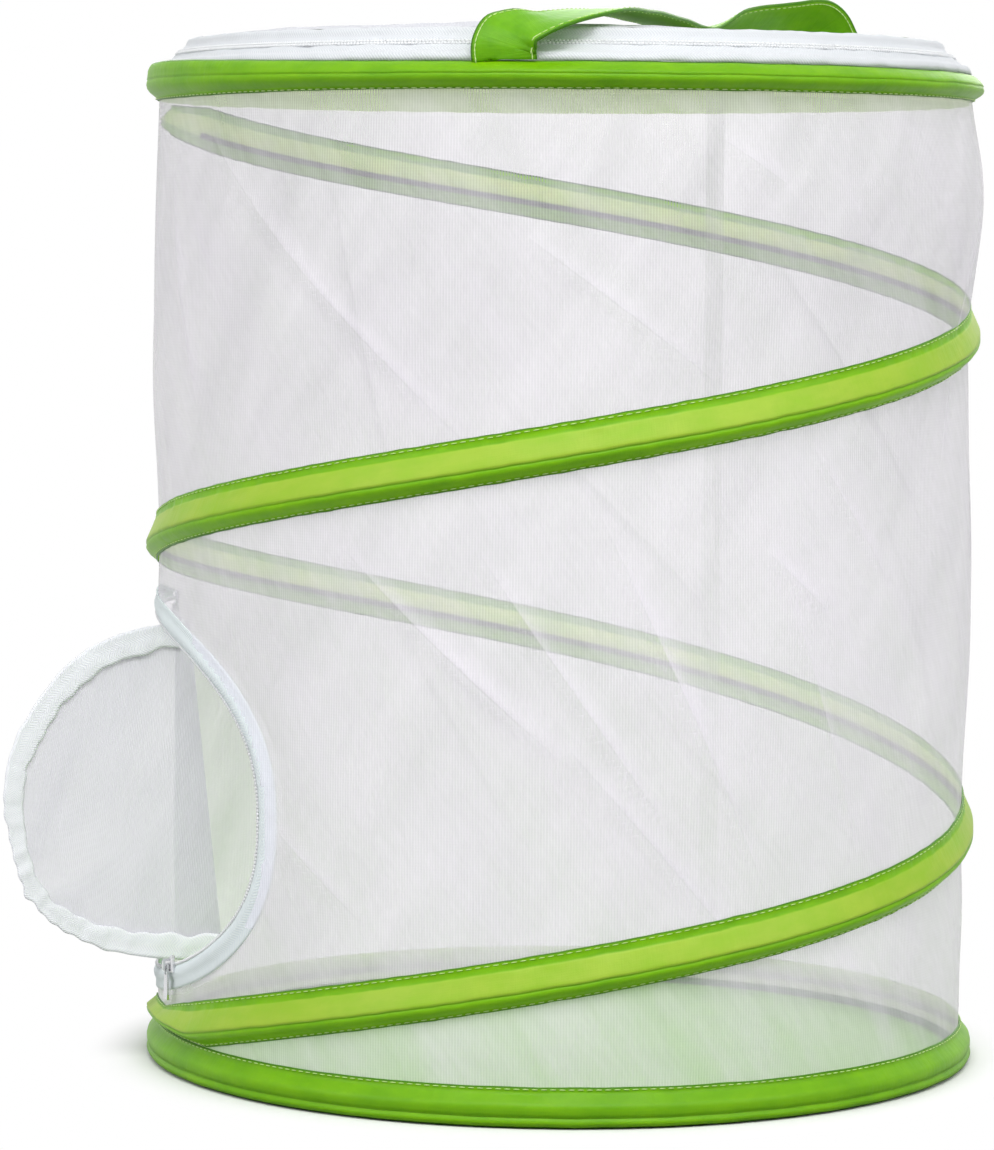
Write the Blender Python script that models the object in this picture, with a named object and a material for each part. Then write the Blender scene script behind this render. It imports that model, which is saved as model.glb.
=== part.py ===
# A pop-up insect cage: a mesh cylinder held open by one spring wire that runs as a bottom hoop,
# a helix of two turns and a top hoop, each in a sewn fabric tape. It folds flat, its domed lid
# unzips around the rim, and a D-shaped door unzips in the wall.
#
# Metres, +Z up. The origin is the centre of the floor's underside. The viewer looks along +Y,
# and angles are counted about +Z from +X, so the front is at 270 degrees and the left at 180.

import math

import bmesh
import bpy
from mathutils import Matrix, Vector

MM = 0.001

# Overall cylinder
WALL_RADIUS = 148.0 * MM
WALL_THICKNESS = 0.6 * MM
CAGE_HEIGHT = 360.0 * MM
FACETS = 60
GAP = 0.3 * MM

# Spring wire
WIRE_RADIUS = 1.2 * MM
WIRE_STANDOFF = 1.4 * MM

# Sewn tapes over the wire
TAPE_THICKNESS = 0.5 * MM
TAPE_EDGE_FLAT = 0.9 * MM
TAPE_FLANK = 2.8 * MM
TAPE_CREST_HALF = 1.6 * MM

# Floor and bottom hoop
FLOOR_THICKNESS = 0.8 * MM
FLOOR_INSET = 1.6 * MM
PIPING_HEIGHT = 3.0 * MM
PIPING_INSET = 1.2 * MM
PIPING_PROUD = 3.4 * MM
BOTTOM_TAPE_HEIGHT = 10.7 * MM
BOTTOM_WIRE_ABOVE_TAPE_EDGE = 3.6 * MM

# Top hoop
TOP_TAPE_HEIGHT = 11.0 * MM
TOP_WIRE_BELOW_RIM = 5.0 * MM

# Helix: heights of the tape's centre line at each quarter turn, from the left side at 180 degrees
HELIX_START_DEG = 192.0
HELIX_END_DEG = 876.0
HELIX_TABLE_START_DEG = 180.0
HELIX_TABLE_STEP_DEG = 90.0
HELIX_HEIGHT_SHARES = (0.014, 0.1445, 0.2528, 0.3917, 0.5236, 0.6417, 0.7528, 0.8722, 0.9722)
HELIX_TAPE_WIDTH = 17.0 * MM
HELIX_WIRE_BELOW_CENTRE = 2.5 * MM
HELIX_LEAST_SIDE = 4.0 * MM

# Back seam of the mesh wall
SEAM_ANGLE_DEG = 66.0
SEAM_WIDTH_DEG = 3.0
SEAM_TAPE_THICKNESS = 0.5 * MM

# Door in the wall: a D that starts at its sewn edge and bulges around the wall
DOOR_EDGE_DEG = 168.0
DOOR_DEPTH = 147.0 * MM
DOOR_HALF_HEIGHT = 65.5 * MM
DOOR_CENTRE_HEIGHT = 98.0 * MM
DOOR_ROUNDNESS = 2.5
DOOR_STATION_SHARES = (
    0.0, 0.08, 0.16, 0.24, 0.32, 0.4, 0.48, 0.56, 0.64, 0.72, 0.79, 0.86, 0.91, 0.95, 0.985, 1.0,
)
DOOR_CUT_OFFSET = 1.7 * MM
DOOR_CUT_REACH = 2.0 * MM
DOOR_CUT_TIP_SHARE = 0.004
DOOR_PANEL_INSET = 1.0 * MM
DOOR_PANEL_ROWS = 6
DOOR_TAPE_WIDTH = 6.3 * MM
DOOR_TAPE_OFFSET = 1.5 * MM
DOOR_COIL_WIDTH = 1.1 * MM
DOOR_COIL_HEIGHT = 1.5 * MM
DOOR_FLAP_COIL_HEIGHT = 1.0 * MM
DOOR_FLAP_TAPE_WIDTH = 6.0 * MM
DOOR_EDGE_TAPE_WIDTH = 4.0 * MM
DOOR_EDGE_CLEARANCE = 0.8 * MM
DOOR_SHEET_THICKNESS = 0.6 * MM

# The flap is folded open along a slanted line
FOLD_ARC_LOW = 68.0 * MM
FOLD_ARC_HIGH = 58.0 * MM
FOLD_GAP = 0.9 * MM
FOLD_OPEN_DEG = 107.0
INNER_TURN_LOW_DEG = 19.0
INNER_TURN_HIGH_DEG = 10.0
FLAP_TIP_SHARE = 0.985

# Lid: a sloping zipper round the rim and a puffed panel inside it
LID_EDGE_INSET = 0.8 * MM
LID_SLOPE_RUN = 11.8 * MM
LID_SLOPE_RISE = 10.8 * MM
LID_SLOPE_LIFT = 0.9 * MM
LID_TAPE_THICKNESS = 0.6 * MM
RIM_TAPE_SHARES = (0.0, 0.4)
RIM_COIL_SHARES = (0.445, 0.495)
LID_COIL_SHARES = (0.525, 0.575)
LID_TAPE_SHARES = (0.60, 0.95)
LID_COIL_HEIGHT = 1.3 * MM
LID_CROWN_RISE = 6.6 * MM
LID_PANEL_THICKNESS = 0.8 * MM
LID_RING_SHARES = (0.03, 0.3, 0.6, 0.82, 0.93, 1.0)
LID_CROWN_POWER = 4.0
HINGE_DIRECTION_DEG = 156.0
HINGE_CUT_DEPTH = 9.1 * MM
HINGE_GAP = 0.5 * MM
HINGE_STRIP_OFFSETS_DEG = (-26.0, -24.0, -18.0, -12.0, -6.0, 0.0, 6.0, 12.0, 18.0, 24.0, 26.0)
ZIP_ARC_START_DEG = 183.0
ZIP_ARC_END_DEG = 489.0
ZIP_ARC_STATIONS = 51

# Carry strap, from the front rim over the lid to the rim at the back right
STRAP_WIDTH = 22.0 * MM
STRAP_THICKNESS = 1.0 * MM
STRAP_STEPS = 3
STRAP_FRONT_DEG = 262.2
STRAP_BACK_DEG = 43.0
STRAP_ROOT_RADIUS = 149.1 * MM
STRAP_RISE = 30.0 * MM
STRAP_ROOT_SHARES = (0.0, 0.17)
STRAP_ROUTE_SHARES = (
    (-0.110, -0.975, 0.42),
    (-0.040, -0.915, 0.60),
    (0.050, -0.760, 0.672),
    (0.140, -0.470, 0.655),
    (0.225, -0.130, 0.648),
    (0.340, 0.200, 0.660),
    (0.480, 0.450, 0.790),
    (0.600, 0.600, 0.900),
    (0.690, 0.680, 0.935),
    (0.732, 0.690, 0.820),
    (0.738, 0.690, 0.500),
)
STRAP_FLAT_POINTS = 4
STRAP_FLAT_WAY = (0.93, -0.36, 0.0)
STRAP_LEANING_WAY = (0.72, -0.30, 0.62)

# Zipper slider and pull tab
SLIDER_LENGTH = 8.6 * MM
SLIDER_WIDTH = 6.4 * MM
SLIDER_NOSE_WIDTH = 4.2 * MM
SLIDER_PLATE = 1.6 * MM
SLIDER_BEVEL = 0.4 * MM
BRIDGE_LENGTH = 4.6 * MM
BRIDGE_WIDTH = 1.4 * MM
BRIDGE_RISE = 2.0 * MM
BRIDGE_BAR = 0.7 * MM
BRIDGE_SINK = 0.4 * MM
PULL_LENGTH = 12.0 * MM
PULL_WIDTH = 4.6 * MM
PULL_NECK_WIDTH = 3.8 * MM
PULL_THICKNESS = 0.7 * MM
PULL_BAR = 0.8 * MM
PULL_EYE_LENGTH = 3.0 * MM
DOOR_SLIDER_ARC = 86.0 * MM
DOOR_SLIDER_OFFSET = 0.9 * MM
LID_SLIDER_DEG = 126.5

# Heights and radii that several pieces share
FLOOR_RADIUS = WALL_RADIUS - FLOOR_INSET
PIPING_INNER_RADIUS = WALL_RADIUS - PIPING_INSET
TAPE_INNER_RADIUS = WALL_RADIUS + GAP
TAPE_OUTER_RADIUS = TAPE_INNER_RADIUS + TAPE_THICKNESS
WIRE_RING_RADIUS = WALL_RADIUS + WIRE_STANDOFF + WIRE_RADIUS
CREST_INNER_RADIUS = WIRE_RING_RADIUS + WIRE_RADIUS + GAP
CREST_OUTER_RADIUS = CREST_INNER_RADIUS + TAPE_THICKNESS
BOTTOM_TAPE_LOW = PIPING_HEIGHT + GAP
BOTTOM_TAPE_HIGH = BOTTOM_TAPE_LOW + BOTTOM_TAPE_HEIGHT
TOP_TAPE_LOW = CAGE_HEIGHT - TOP_TAPE_HEIGHT
LID_SLOPE_OUTER_RADIUS = WALL_RADIUS - LID_EDGE_INSET
LID_SLOPE_INNER_RADIUS = LID_SLOPE_OUTER_RADIUS - LID_SLOPE_RUN
LID_BASE_HEIGHT = CAGE_HEIGHT + LID_SLOPE_LIFT
LID_PANEL_RADIUS = LID_SLOPE_INNER_RADIUS - GAP
HINGE_DISTANCE = LID_PANEL_RADIUS - HINGE_CUT_DEPTH
LID_EDGE_HEIGHT = LID_BASE_HEIGHT + LID_SLOPE_RISE
HINGE_HEIGHT = LID_EDGE_HEIGHT - LID_PANEL_THICKNESS

COLOURS = {
    "green": ((0.235, 0.485, 0.012), 0.55, 0.0),
    "green_dark": ((0.08, 0.23, 0.004), 0.6, 0.0),
    "mesh": ((0.75, 0.75, 0.78), 0.8, 0.0),
    "white_tape": ((0.82, 0.85, 0.9), 0.7, 0.0),
    "lid": ((0.9, 0.92, 0.95), 0.75, 0.0),
    "wire": ((0.5, 0.5, 0.52), 0.35, 1.0),
    "metal": ((0.6, 0.6, 0.62), 0.3, 1.0),
}


def clear_scene():
    for item in list(bpy.data.objects):
        bpy.data.objects.remove(item, do_unlink=True)


def finish(name, source, colour):
    """Gives an object its own material and smooth shading with sharp edges kept."""
    rgb, roughness, metallic = COLOURS[colour]
    material = bpy.data.materials.new(name)
    material.use_nodes = True
    shader = material.node_tree.nodes["Principled BSDF"]
    shader.inputs["Base Color"].default_value = (*rgb, 1.0)
    shader.inputs["Roughness"].default_value = roughness
    shader.inputs["Metallic"].default_value = metallic
    source.materials.append(material)
    item = bpy.data.objects.new(name, source)
    bpy.context.collection.objects.link(item)
    return item


def add_solid(name, bm, colour):
    bmesh.ops.recalc_face_normals(bm, faces=bm.faces[:])
    mesh = bpy.data.meshes.new(name)
    bm.to_mesh(mesh)
    bm.free()
    mesh.shade_smooth()
    mesh.set_sharp_from_angle(angle=math.radians(35.0))
    return finish(name, mesh, colour)


def loft_into(bm, rings, closed=False):
    """Joins rings of equal count into one body, with caps at its ends unless it closes on itself."""
    rows = [[bm.verts.new(point) for point in ring] for ring in rings]
    pairs = list(zip(rows, rows[1:]))
    if closed:
        pairs.append((rows[-1], rows[0]))
    for low, high in pairs:
        for k in range(len(low)):
            after = (k + 1) % len(low)
            bm.faces.new((low[k], low[after], high[after], high[k]))
    if not closed:
        bm.faces.new(rows[0])
        bm.faces.new(list(reversed(rows[-1])))


def loft(name, rings, colour, closed=False):
    bm = bmesh.new()
    loft_into(bm, rings, closed)
    return add_solid(name, bm, colour)


def on_cylinder(radius, degrees, height):
    turn = math.radians(degrees)
    return Vector((radius * math.cos(turn), radius * math.sin(turn), height))


def full_turn():
    return [360.0 * k / FACETS for k in range(FACETS)]


def revolve(name, profile, colour):
    """A full ring whose section is a closed outline of (radius, height)."""
    rings = [[on_cylinder(r, a, z) for r, z in profile] for a in full_turn()]
    return loft(name, rings, colour, closed=True)


def add_wire(name, points, cyclic):
    curve = bpy.data.curves.new(name, "CURVE")
    curve.dimensions = "3D"
    curve.bevel_depth = WIRE_RADIUS
    curve.bevel_resolution = 1
    curve.use_fill_caps = True
    spline = curve.splines.new("POLY")
    spline.points.add(len(points) - 1)
    for point, place in zip(spline.points, points):
        point.co = (*place, 1.0)
    spline.use_cyclic_u = cyclic
    return finish(name, curve, "wire")


def tape_profile(low, high, wire):
    """Section of a tape that lies flat on the wall at both edges and rises over the wire."""
    flank_low = max(wire - TAPE_CREST_HALF - TAPE_FLANK, low + TAPE_EDGE_FLAT)
    flank_high = max(min(wire + TAPE_CREST_HALF + 2.0 * TAPE_FLANK, high - TAPE_EDGE_FLAT), wire)
    skin = [
        (0.0, low),
        (0.0, flank_low),
        (1.0, wire - TAPE_CREST_HALF),
        (1.0, wire + TAPE_CREST_HALF),
        (0.0, flank_high),
        (0.0, high),
    ]
    rise = CREST_INNER_RADIUS - TAPE_INNER_RADIUS
    inner = [(TAPE_INNER_RADIUS + share * rise, z) for share, z in skin]
    outer = [(TAPE_OUTER_RADIUS + share * rise, z) for share, z in skin]
    return inner + list(reversed(outer))


def helix_centre(degrees):
    """Height of the helix tape's centre line, on a smooth curve through the quarter turns."""
    heights = [share * CAGE_HEIGHT for share in HELIX_HEIGHT_SHARES]
    place = (degrees - HELIX_TABLE_START_DEG) / HELIX_TABLE_STEP_DEG
    k = min(max(int(place), 0), len(heights) - 2)
    t = place - k
    before = heights[k - 1] if k > 0 else 2.0 * heights[0] - heights[1]
    after = heights[k + 2] if k + 2 < len(heights) else 2.0 * heights[-1] - heights[-2]
    a, b = heights[k], heights[k + 1]
    slope_a, slope_b = (b - before) / 2.0, (after - a) / 2.0
    return (
        a * (2.0 * t**3 - 3.0 * t**2 + 1.0)
        + slope_a * (t**3 - 2.0 * t**2 + t)
        + b * (3.0 * t**2 - 2.0 * t**3)
        + slope_b * (t**3 - t**2)
    )


def helix_levels(degrees):
    """Lower edge, wire and upper edge of the helix tape, kept between the two hoop tapes."""
    centre = helix_centre(degrees)
    floor = BOTTOM_TAPE_HIGH + GAP
    ceiling = TOP_TAPE_LOW - GAP
    wire = centre - HELIX_WIRE_BELOW_CENTRE
    wire = min(max(wire, floor + HELIX_LEAST_SIDE), ceiling - HELIX_LEAST_SIDE)
    low = max(centre - HELIX_TAPE_WIDTH / 2.0, floor)
    high = min(max(centre + HELIX_TAPE_WIDTH / 2.0, wire + HELIX_LEAST_SIDE), ceiling)
    return low, wire, high


def helix_angles():
    step = 360.0 / FACETS
    count = round((HELIX_END_DEG - HELIX_START_DEG) / step)
    return [HELIX_START_DEG + step * k for k in range(count + 1)]


def make_hoops_and_helix():
    bottom_wire = BOTTOM_TAPE_LOW + BOTTOM_WIRE_ABOVE_TAPE_EDGE
    top_wire = CAGE_HEIGHT - TOP_WIRE_BELOW_RIM
    for name, height in (("bottom_hoop_wire", bottom_wire), ("top_hoop_wire", top_wire)):
        points = [on_cylinder(WIRE_RING_RADIUS, a, height) for a in full_turn()]
        add_wire(name, points, cyclic=True)
    points = [on_cylinder(WIRE_RING_RADIUS, a, helix_levels(a)[1]) for a in helix_angles()]
    add_wire("helix_wire", points, cyclic=False)

    revolve("bottom_binding", tape_profile(BOTTOM_TAPE_LOW, BOTTOM_TAPE_HIGH, bottom_wire), "green")
    revolve("top_binding", tape_profile(TOP_TAPE_LOW, CAGE_HEIGHT, top_wire), "green")
    rings = []
    for angle in helix_angles():
        low, wire, high = helix_levels(angle)
        rings.append([on_cylinder(r, angle, z) for r, z in tape_profile(low, high, wire)])
    loft("helix_binding", rings, "green")


def make_floor():
    rings = [
        [on_cylinder(FLOOR_RADIUS, a, height) for a in full_turn()]
        for height in (0.0, FLOOR_THICKNESS)
    ]
    loft("floor_panel", rings, "green")
    outer = WALL_RADIUS + PIPING_PROUD
    profile = [
        (PIPING_INNER_RADIUS, 0.0),
        (WALL_RADIUS, 0.0),
        (outer, PIPING_HEIGHT / 2.0),
        (outer, PIPING_HEIGHT),
        (WALL_RADIUS, PIPING_HEIGHT),
        (PIPING_INNER_RADIUS, FLOOR_THICKNESS),
    ]
    revolve("floor_piping", profile, "green_dark")


def door_outline(turn, offset=0.0):
    """Point (arc, height) of the door's edge, from -1 at its lower end to 1 at its upper end."""

    def at(value):
        angle = value * math.pi / 2.0
        power = 2.0 / DOOR_ROUNDNESS
        across = DOOR_DEPTH * max(math.cos(angle), 0.0) ** power
        up = math.copysign(abs(math.sin(angle)) ** power, angle) * DOOR_HALF_HEIGHT
        return Vector((across, DOOR_CENTRE_HEIGHT + up))

    small = 0.001
    place = at(turn)
    along = at(min(turn + small, 1.0)) - at(max(turn - small, -1.0))
    along.normalize()
    return place + offset * Vector((along.y, -along.x))


def outline_turn_at(arc):
    """The turn, from 0 to 1, at which the door's outline passes this arc."""
    share = min(max(arc / DOOR_DEPTH, 0.0), 1.0)
    return math.acos(share ** (DOOR_ROUNDNESS / 2.0)) / (math.pi / 2.0)


def door_turns():
    """Turns from the lower end of the door's edge round its tip to the upper end."""
    upper = [outline_turn_at(share * DOOR_DEPTH) for share in DOOR_STATION_SHARES]
    return [-turn for turn in upper] + upper[-2::-1]


def on_wall(arc, height, radius):
    return on_cylinder(radius, DOOR_EDGE_DEG + math.degrees(arc / WALL_RADIUS), height)


def seam_turn(height):
    """How far the flap's inner half is turned inwards about its sewn edge, at this height."""
    low = DOOR_CENTRE_HEIGHT - DOOR_HALF_HEIGHT
    share = (height - low) / (2.0 * DOOR_HALF_HEIGHT)
    turn = INNER_TURN_LOW_DEG + (INNER_TURN_HIGH_DEG - INNER_TURN_LOW_DEG) * share
    return math.radians(turn)


def on_inner_flap(arc, height, radius):
    seam = on_wall(0.0, height, WALL_RADIUS)
    turned = Matrix.Rotation(seam_turn(height), 3, "Z")
    return seam + turned @ (on_wall(arc, height, radius) - seam)


def fold_arc(height):
    low = DOOR_CENTRE_HEIGHT - DOOR_HALF_HEIGHT
    share = (height - low) / (2.0 * DOOR_HALF_HEIGHT)
    return FOLD_ARC_LOW + (FOLD_ARC_HIGH - FOLD_ARC_LOW) * share


def half_height_at(arc):
    share = min(max(arc / DOOR_DEPTH, 0.0), 1.0)
    return DOOR_HALF_HEIGHT * (1.0 - share**DOOR_ROUNDNESS) ** (1.0 / DOOR_ROUNDNESS)


def fold_ends():
    low = DOOR_CENTRE_HEIGHT - half_height_at(FOLD_ARC_LOW)
    high = DOOR_CENTRE_HEIGHT + half_height_at(FOLD_ARC_HIGH)
    return low, high


def outer_flap_matrix():
    """Takes the flap's outer half from its closed place on the wall to where it hangs open."""
    low, high = fold_ends()
    closed = [on_wall(fold_arc(z), z, WALL_RADIUS) for z in (low, high)]
    resting = [on_inner_flap(fold_arc(z), z, WALL_RADIUS) for z in (low, high)]
    closed_middle = (closed[0] + closed[1]) / 2.0
    resting_middle = (resting[0] + resting[1]) / 2.0
    turn = Matrix.Rotation(seam_turn(resting_middle.z), 4, "Z")
    closed_way = (turn.to_3x3() @ (closed[1] - closed[0])).normalized()
    resting_way = (resting[1] - resting[0]).normalized()
    tilt = closed_way.rotation_difference(resting_way).to_matrix().to_4x4()
    fold = Matrix.Rotation(-math.radians(FOLD_OPEN_DEG), 4, resting_way)
    back = Matrix.Translation(-closed_middle)
    return Matrix.Translation(resting_middle) @ fold @ tilt @ turn @ back


def sheet_rings(arcs, spans, place, thickness, lift=0.0):
    """Rings for a thin sheet: one ring at each arc, between the two heights given for it."""
    rings = []
    for arc, (low, high) in zip(arcs, spans):
        heights = [low + (high - low) * k / DOOR_PANEL_ROWS for k in range(DOOR_PANEL_ROWS + 1)]
        top = WALL_RADIUS + lift
        under = top - thickness
        outside = [place(arc_at(arc, z), z, top) for z in heights]
        inside = [place(arc_at(arc, z), z, under) for z in reversed(heights)]
        rings.append(outside + inside)
    return rings


def arc_at(arc, height):
    """An arc may be a number or a function of the height, as at the slanted fold."""
    return arc(height) if callable(arc) else arc


def strip_rings(turns, start, stop, low, high, place):
    """Rings for a strip that follows the door's edge, between two offsets and two radii."""
    rings = []
    for turn in turns:
        near = door_outline(turn, start)
        far = door_outline(turn, stop)
        corners = ((near, low), (far, low), (far, high), (near, high))
        rings.append([place(spot.x, spot.y, radius) for spot, radius in corners])
    return rings


def make_wall():
    inner = WALL_RADIUS - WALL_THICKNESS
    low, high = PIPING_HEIGHT + GAP, CAGE_HEIGHT - TAPE_THICKNESS
    profile = [(inner, low), (inner, high), (WALL_RADIUS, high), (WALL_RADIUS, low)]
    wall = revolve("wall_mesh", profile, "mesh")

    radii = (inner - DOOR_CUT_REACH, WALL_RADIUS + DOOR_CUT_REACH)
    rows = []
    upper = [turn for turn in door_turns() if turn > 0.0]
    for turn in [*reversed(upper), DOOR_CUT_TIP_SHARE]:
        spots = (door_outline(-turn, DOOR_CUT_OFFSET), door_outline(turn, DOOR_CUT_OFFSET))
        corners = [(spots[0], radii[0]), (spots[0], radii[1])]
        corners += [(spots[1], radii[1]), (spots[1], radii[0])]
        rows.append([on_wall(max(spot.x, 0.0), spot.y, radius) for spot, radius in corners])
    cutter = loft("door_cutter", rows, "mesh")
    cutter.hide_render = True
    cutter.display_type = "WIRE"
    opening = wall.modifiers.new("door", "BOOLEAN")
    opening.operation = "DIFFERENCE"
    opening.solver = "EXACT"
    opening.object = cutter

    half = SEAM_WIDTH_DEG / 2.0
    outside = inner - GAP
    inside = outside - SEAM_TAPE_THICKNESS
    rings = []
    for height in (low, high):
        corners = ((outside, -half), (outside, half), (inside, half), (inside, -half))
        rings.append([on_cylinder(r, SEAM_ANGLE_DEG + a, height) for r, a in corners])
    loft("wall_seam_tape", rings, "white_tape")


def make_door():
    tape_low, tape_high = TAPE_INNER_RADIUS, TAPE_OUTER_RADIUS
    start = DOOR_TAPE_OFFSET + GAP
    rings = strip_rings(
        door_turns(), start, start + DOOR_TAPE_WIDTH, tape_low, tape_high, on_wall
    )
    loft("door_tape_wall", rings, "white_tape")
    coil_low = WALL_RADIUS - WALL_THICKNESS
    coil_high = coil_low + DOOR_COIL_HEIGHT
    rings = strip_rings(
        door_turns(), GAP, GAP + DOOR_COIL_WIDTH, coil_low, coil_high, on_wall
    )
    loft("door_coil_wall", rings, "white_tape")

    low = DOOR_CENTRE_HEIGHT - DOOR_HALF_HEIGHT
    high = DOOR_CENTRE_HEIGHT + DOOR_HALF_HEIGHT
    rings = []
    for height in (low, high):
        corners = (
            (-DOOR_EDGE_TAPE_WIDTH, tape_low),
            (-GAP, tape_low),
            (-GAP, tape_high),
            (-DOOR_EDGE_TAPE_WIDTH, tape_high),
        )
        rings.append([on_wall(arc, height, radius) for arc, radius in corners])
    loft("door_edge_tape", rings, "white_tape")
    make_inner_flap()
    make_outer_flap()


def flap_span(arc):
    half = half_height_at(arc) - DOOR_PANEL_INSET
    return DOOR_CENTRE_HEIGHT - half, DOOR_CENTRE_HEIGHT + half


def make_inner_flap():
    def fold_side(height):
        return fold_arc(height) - FOLD_GAP

    arcs = [DOOR_EDGE_CLEARANCE + (FOLD_ARC_HIGH - DOOR_EDGE_CLEARANCE) * k / 5.0 for k in range(5)]
    spans = [flap_span(arc) for arc in arcs]
    arcs.append(fold_side)
    spans.append(flap_span(FOLD_ARC_LOW))
    rings = sheet_rings(arcs, spans, on_inner_flap, DOOR_SHEET_THICKNESS)
    loft("door_panel_inner", rings, "mesh")

    lift = WALL_RADIUS + GAP
    sides = (("low", -1.0, FOLD_ARC_LOW), ("high", 1.0, FOLD_ARC_HIGH))
    for end, side, fold in sides:
        last = outline_turn_at(fold - 2.0 * FOLD_GAP)
        first = outline_turn_at(DOOR_EDGE_CLEARANCE)
        turns = [side * (first + (last - first) * k / 6.0) for k in range(7)]
        rings = strip_rings(
            turns,
            -DOOR_PANEL_INSET,
            -DOOR_PANEL_INSET - DOOR_FLAP_TAPE_WIDTH,
            lift,
            lift + TAPE_THICKNESS,
            on_inner_flap,
        )
        loft("door_tape_inner_" + end, rings, "white_tape")


def make_outer_flap():
    matrix = outer_flap_matrix()

    def place(arc, height, radius):
        return matrix @ on_wall(arc, height, radius)

    def fold_side(height):
        return fold_arc(height) + FOLD_GAP

    first, last = FOLD_ARC_LOW + FOLD_GAP, DOOR_DEPTH * FLAP_TIP_SHARE
    shares = (0.2, 0.4, 0.58, 0.74, 0.87, 0.95, 1.0)
    arcs = [first + (last - first) * share for share in shares]
    spans = [flap_span(arc) for arc in arcs]
    arcs.insert(0, fold_side)
    spans.insert(0, flap_span(FOLD_ARC_LOW))
    rings = sheet_rings(arcs, spans, place, DOOR_SHEET_THICKNESS)
    loft("door_panel_outer", rings, "mesh")

    ends = (
        -outline_turn_at(FOLD_ARC_LOW + 2.0 * FOLD_GAP),
        outline_turn_at(FOLD_ARC_HIGH + 2.0 * FOLD_GAP),
    )
    turns = [ends[0], *[turn for turn in door_turns() if ends[0] < turn < ends[1]], ends[1]]
    lift = WALL_RADIUS + GAP
    rings = strip_rings(
        turns,
        -DOOR_PANEL_INSET,
        -DOOR_PANEL_INSET - DOOR_FLAP_TAPE_WIDTH,
        lift,
        lift + TAPE_THICKNESS,
        place,
    )
    loft("door_tape_outer", rings, "white_tape")
    coil_low = lift + TAPE_THICKNESS + GAP
    coil_high = coil_low + DOOR_FLAP_COIL_HEIGHT
    coil_start = -DOOR_PANEL_INSET - DOOR_COIL_WIDTH
    rings = strip_rings(turns, coil_start, -DOOR_PANEL_INSET, coil_low, coil_high, place)
    loft("door_coil_flap", rings, "white_tape")


def slope_point(share, lift):
    """Point (radius, height) on the lid's sloping zipper, lifted square to the slope."""
    length = math.hypot(LID_SLOPE_RUN, LID_SLOPE_RISE)
    radius = LID_SLOPE_OUTER_RADIUS - share * LID_SLOPE_RUN + lift * LID_SLOPE_RISE / length
    height = LID_BASE_HEIGHT + share * LID_SLOPE_RISE + lift * LID_SLOPE_RUN / length
    return radius, height


def slope_profile(shares, low, high):
    start, stop = shares
    return [
        slope_point(start, low),
        slope_point(stop, low),
        slope_point(stop, high),
        slope_point(start, high),
    ]


def zip_arc(name, profile, colour, short_by=0):
    """A strip round the zipper's arc, which may stop some stations short at the slider's end."""
    step = (ZIP_ARC_END_DEG - ZIP_ARC_START_DEG) / ZIP_ARC_STATIONS
    angles = [ZIP_ARC_START_DEG + step * k for k in range(ZIP_ARC_STATIONS + 1 - short_by)]
    rings = [[on_cylinder(r, a, z) for r, z in profile] for a in angles]
    return loft(name, rings, colour)


def lid_height(radius):
    """Height of the puffed lid's upper face."""
    share = min(radius / LID_PANEL_RADIUS, 1.0)
    return LID_EDGE_HEIGHT + LID_CROWN_RISE * (1.0 - share**LID_CROWN_POWER)


def hinge_reach(degrees, distance):
    """Radius at which this direction meets the straight hinge line."""
    offset = math.radians(degrees - HINGE_DIRECTION_DEG)
    ahead = math.cos(offset)
    return distance / ahead if ahead > 0.0 else math.inf


def make_lid():
    half = LID_TAPE_THICKNESS
    revolve("lid_tape_rim", slope_profile(RIM_TAPE_SHARES, -half, 0.0), "white_tape")
    coil_top = LID_COIL_HEIGHT - half
    zip_arc("lid_coil_rim", slope_profile(RIM_COIL_SHARES, -half, coil_top), "white_tape")
    zip_arc("lid_coil_lid", slope_profile(LID_COIL_SHARES, -half, coil_top), "white_tape", 1)
    zip_arc("lid_tape_lid", slope_profile(LID_TAPE_SHARES, -half, 0.0), "white_tape", 1)

    def ring(share, drop):
        points = []
        for angle in full_turn():
            reach = min(LID_PANEL_RADIUS, hinge_reach(angle, HINGE_DISTANCE))
            radius = share * reach
            points.append(on_cylinder(radius, angle, lid_height(radius) - drop))
        return points

    top = [ring(share, 0.0) for share in LID_RING_SHARES]
    under = [ring(share, LID_PANEL_THICKNESS) for share in reversed(LID_RING_SHARES)]
    loft("lid_panel", top + under, "lid")

    outer, rise = slope_point(RIM_COIL_SHARES[0], 0.0)
    rings = []
    for offset in HINGE_STRIP_OFFSETS_DEG:
        angle = HINGE_DIRECTION_DEG + offset
        inner = hinge_reach(angle, HINGE_DISTANCE + HINGE_GAP)
        inner_height = lid_height(inner)
        if inner > LID_PANEL_RADIUS:
            share = (LID_SLOPE_OUTER_RADIUS - inner) / LID_SLOPE_RUN
            inner_height = slope_point(share, 0.0)[1]
        corners = (
            (inner, inner_height - half),
            (outer, rise - half),
            (outer, rise),
            (inner, inner_height),
        )
        rings.append([on_cylinder(r, angle, z) for r, z in corners])
    loft("lid_hinge_strip", rings, "lid")


def smooth_path(points, steps):
    """Points on a smooth curve through all the given ones."""
    path = []
    last = len(points) - 1
    for k in range(last):
        a, b = points[k], points[k + 1]
        before = points[k - 1] if k > 0 else a
        after = points[k + 2] if k + 2 <= last else b
        for n in range(steps):
            t = n / steps
            path.append(
                a * (2.0 * t**3 - 3.0 * t**2 + 1.0)
                + (b - before) / 2.0 * (t**3 - 2.0 * t**2 + t)
                + b * (3.0 * t**2 - 2.0 * t**3)
                + (after - a) / 2.0 * (t**3 - t**2)
            )
    path.append(points[last].copy())
    return path


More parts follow.
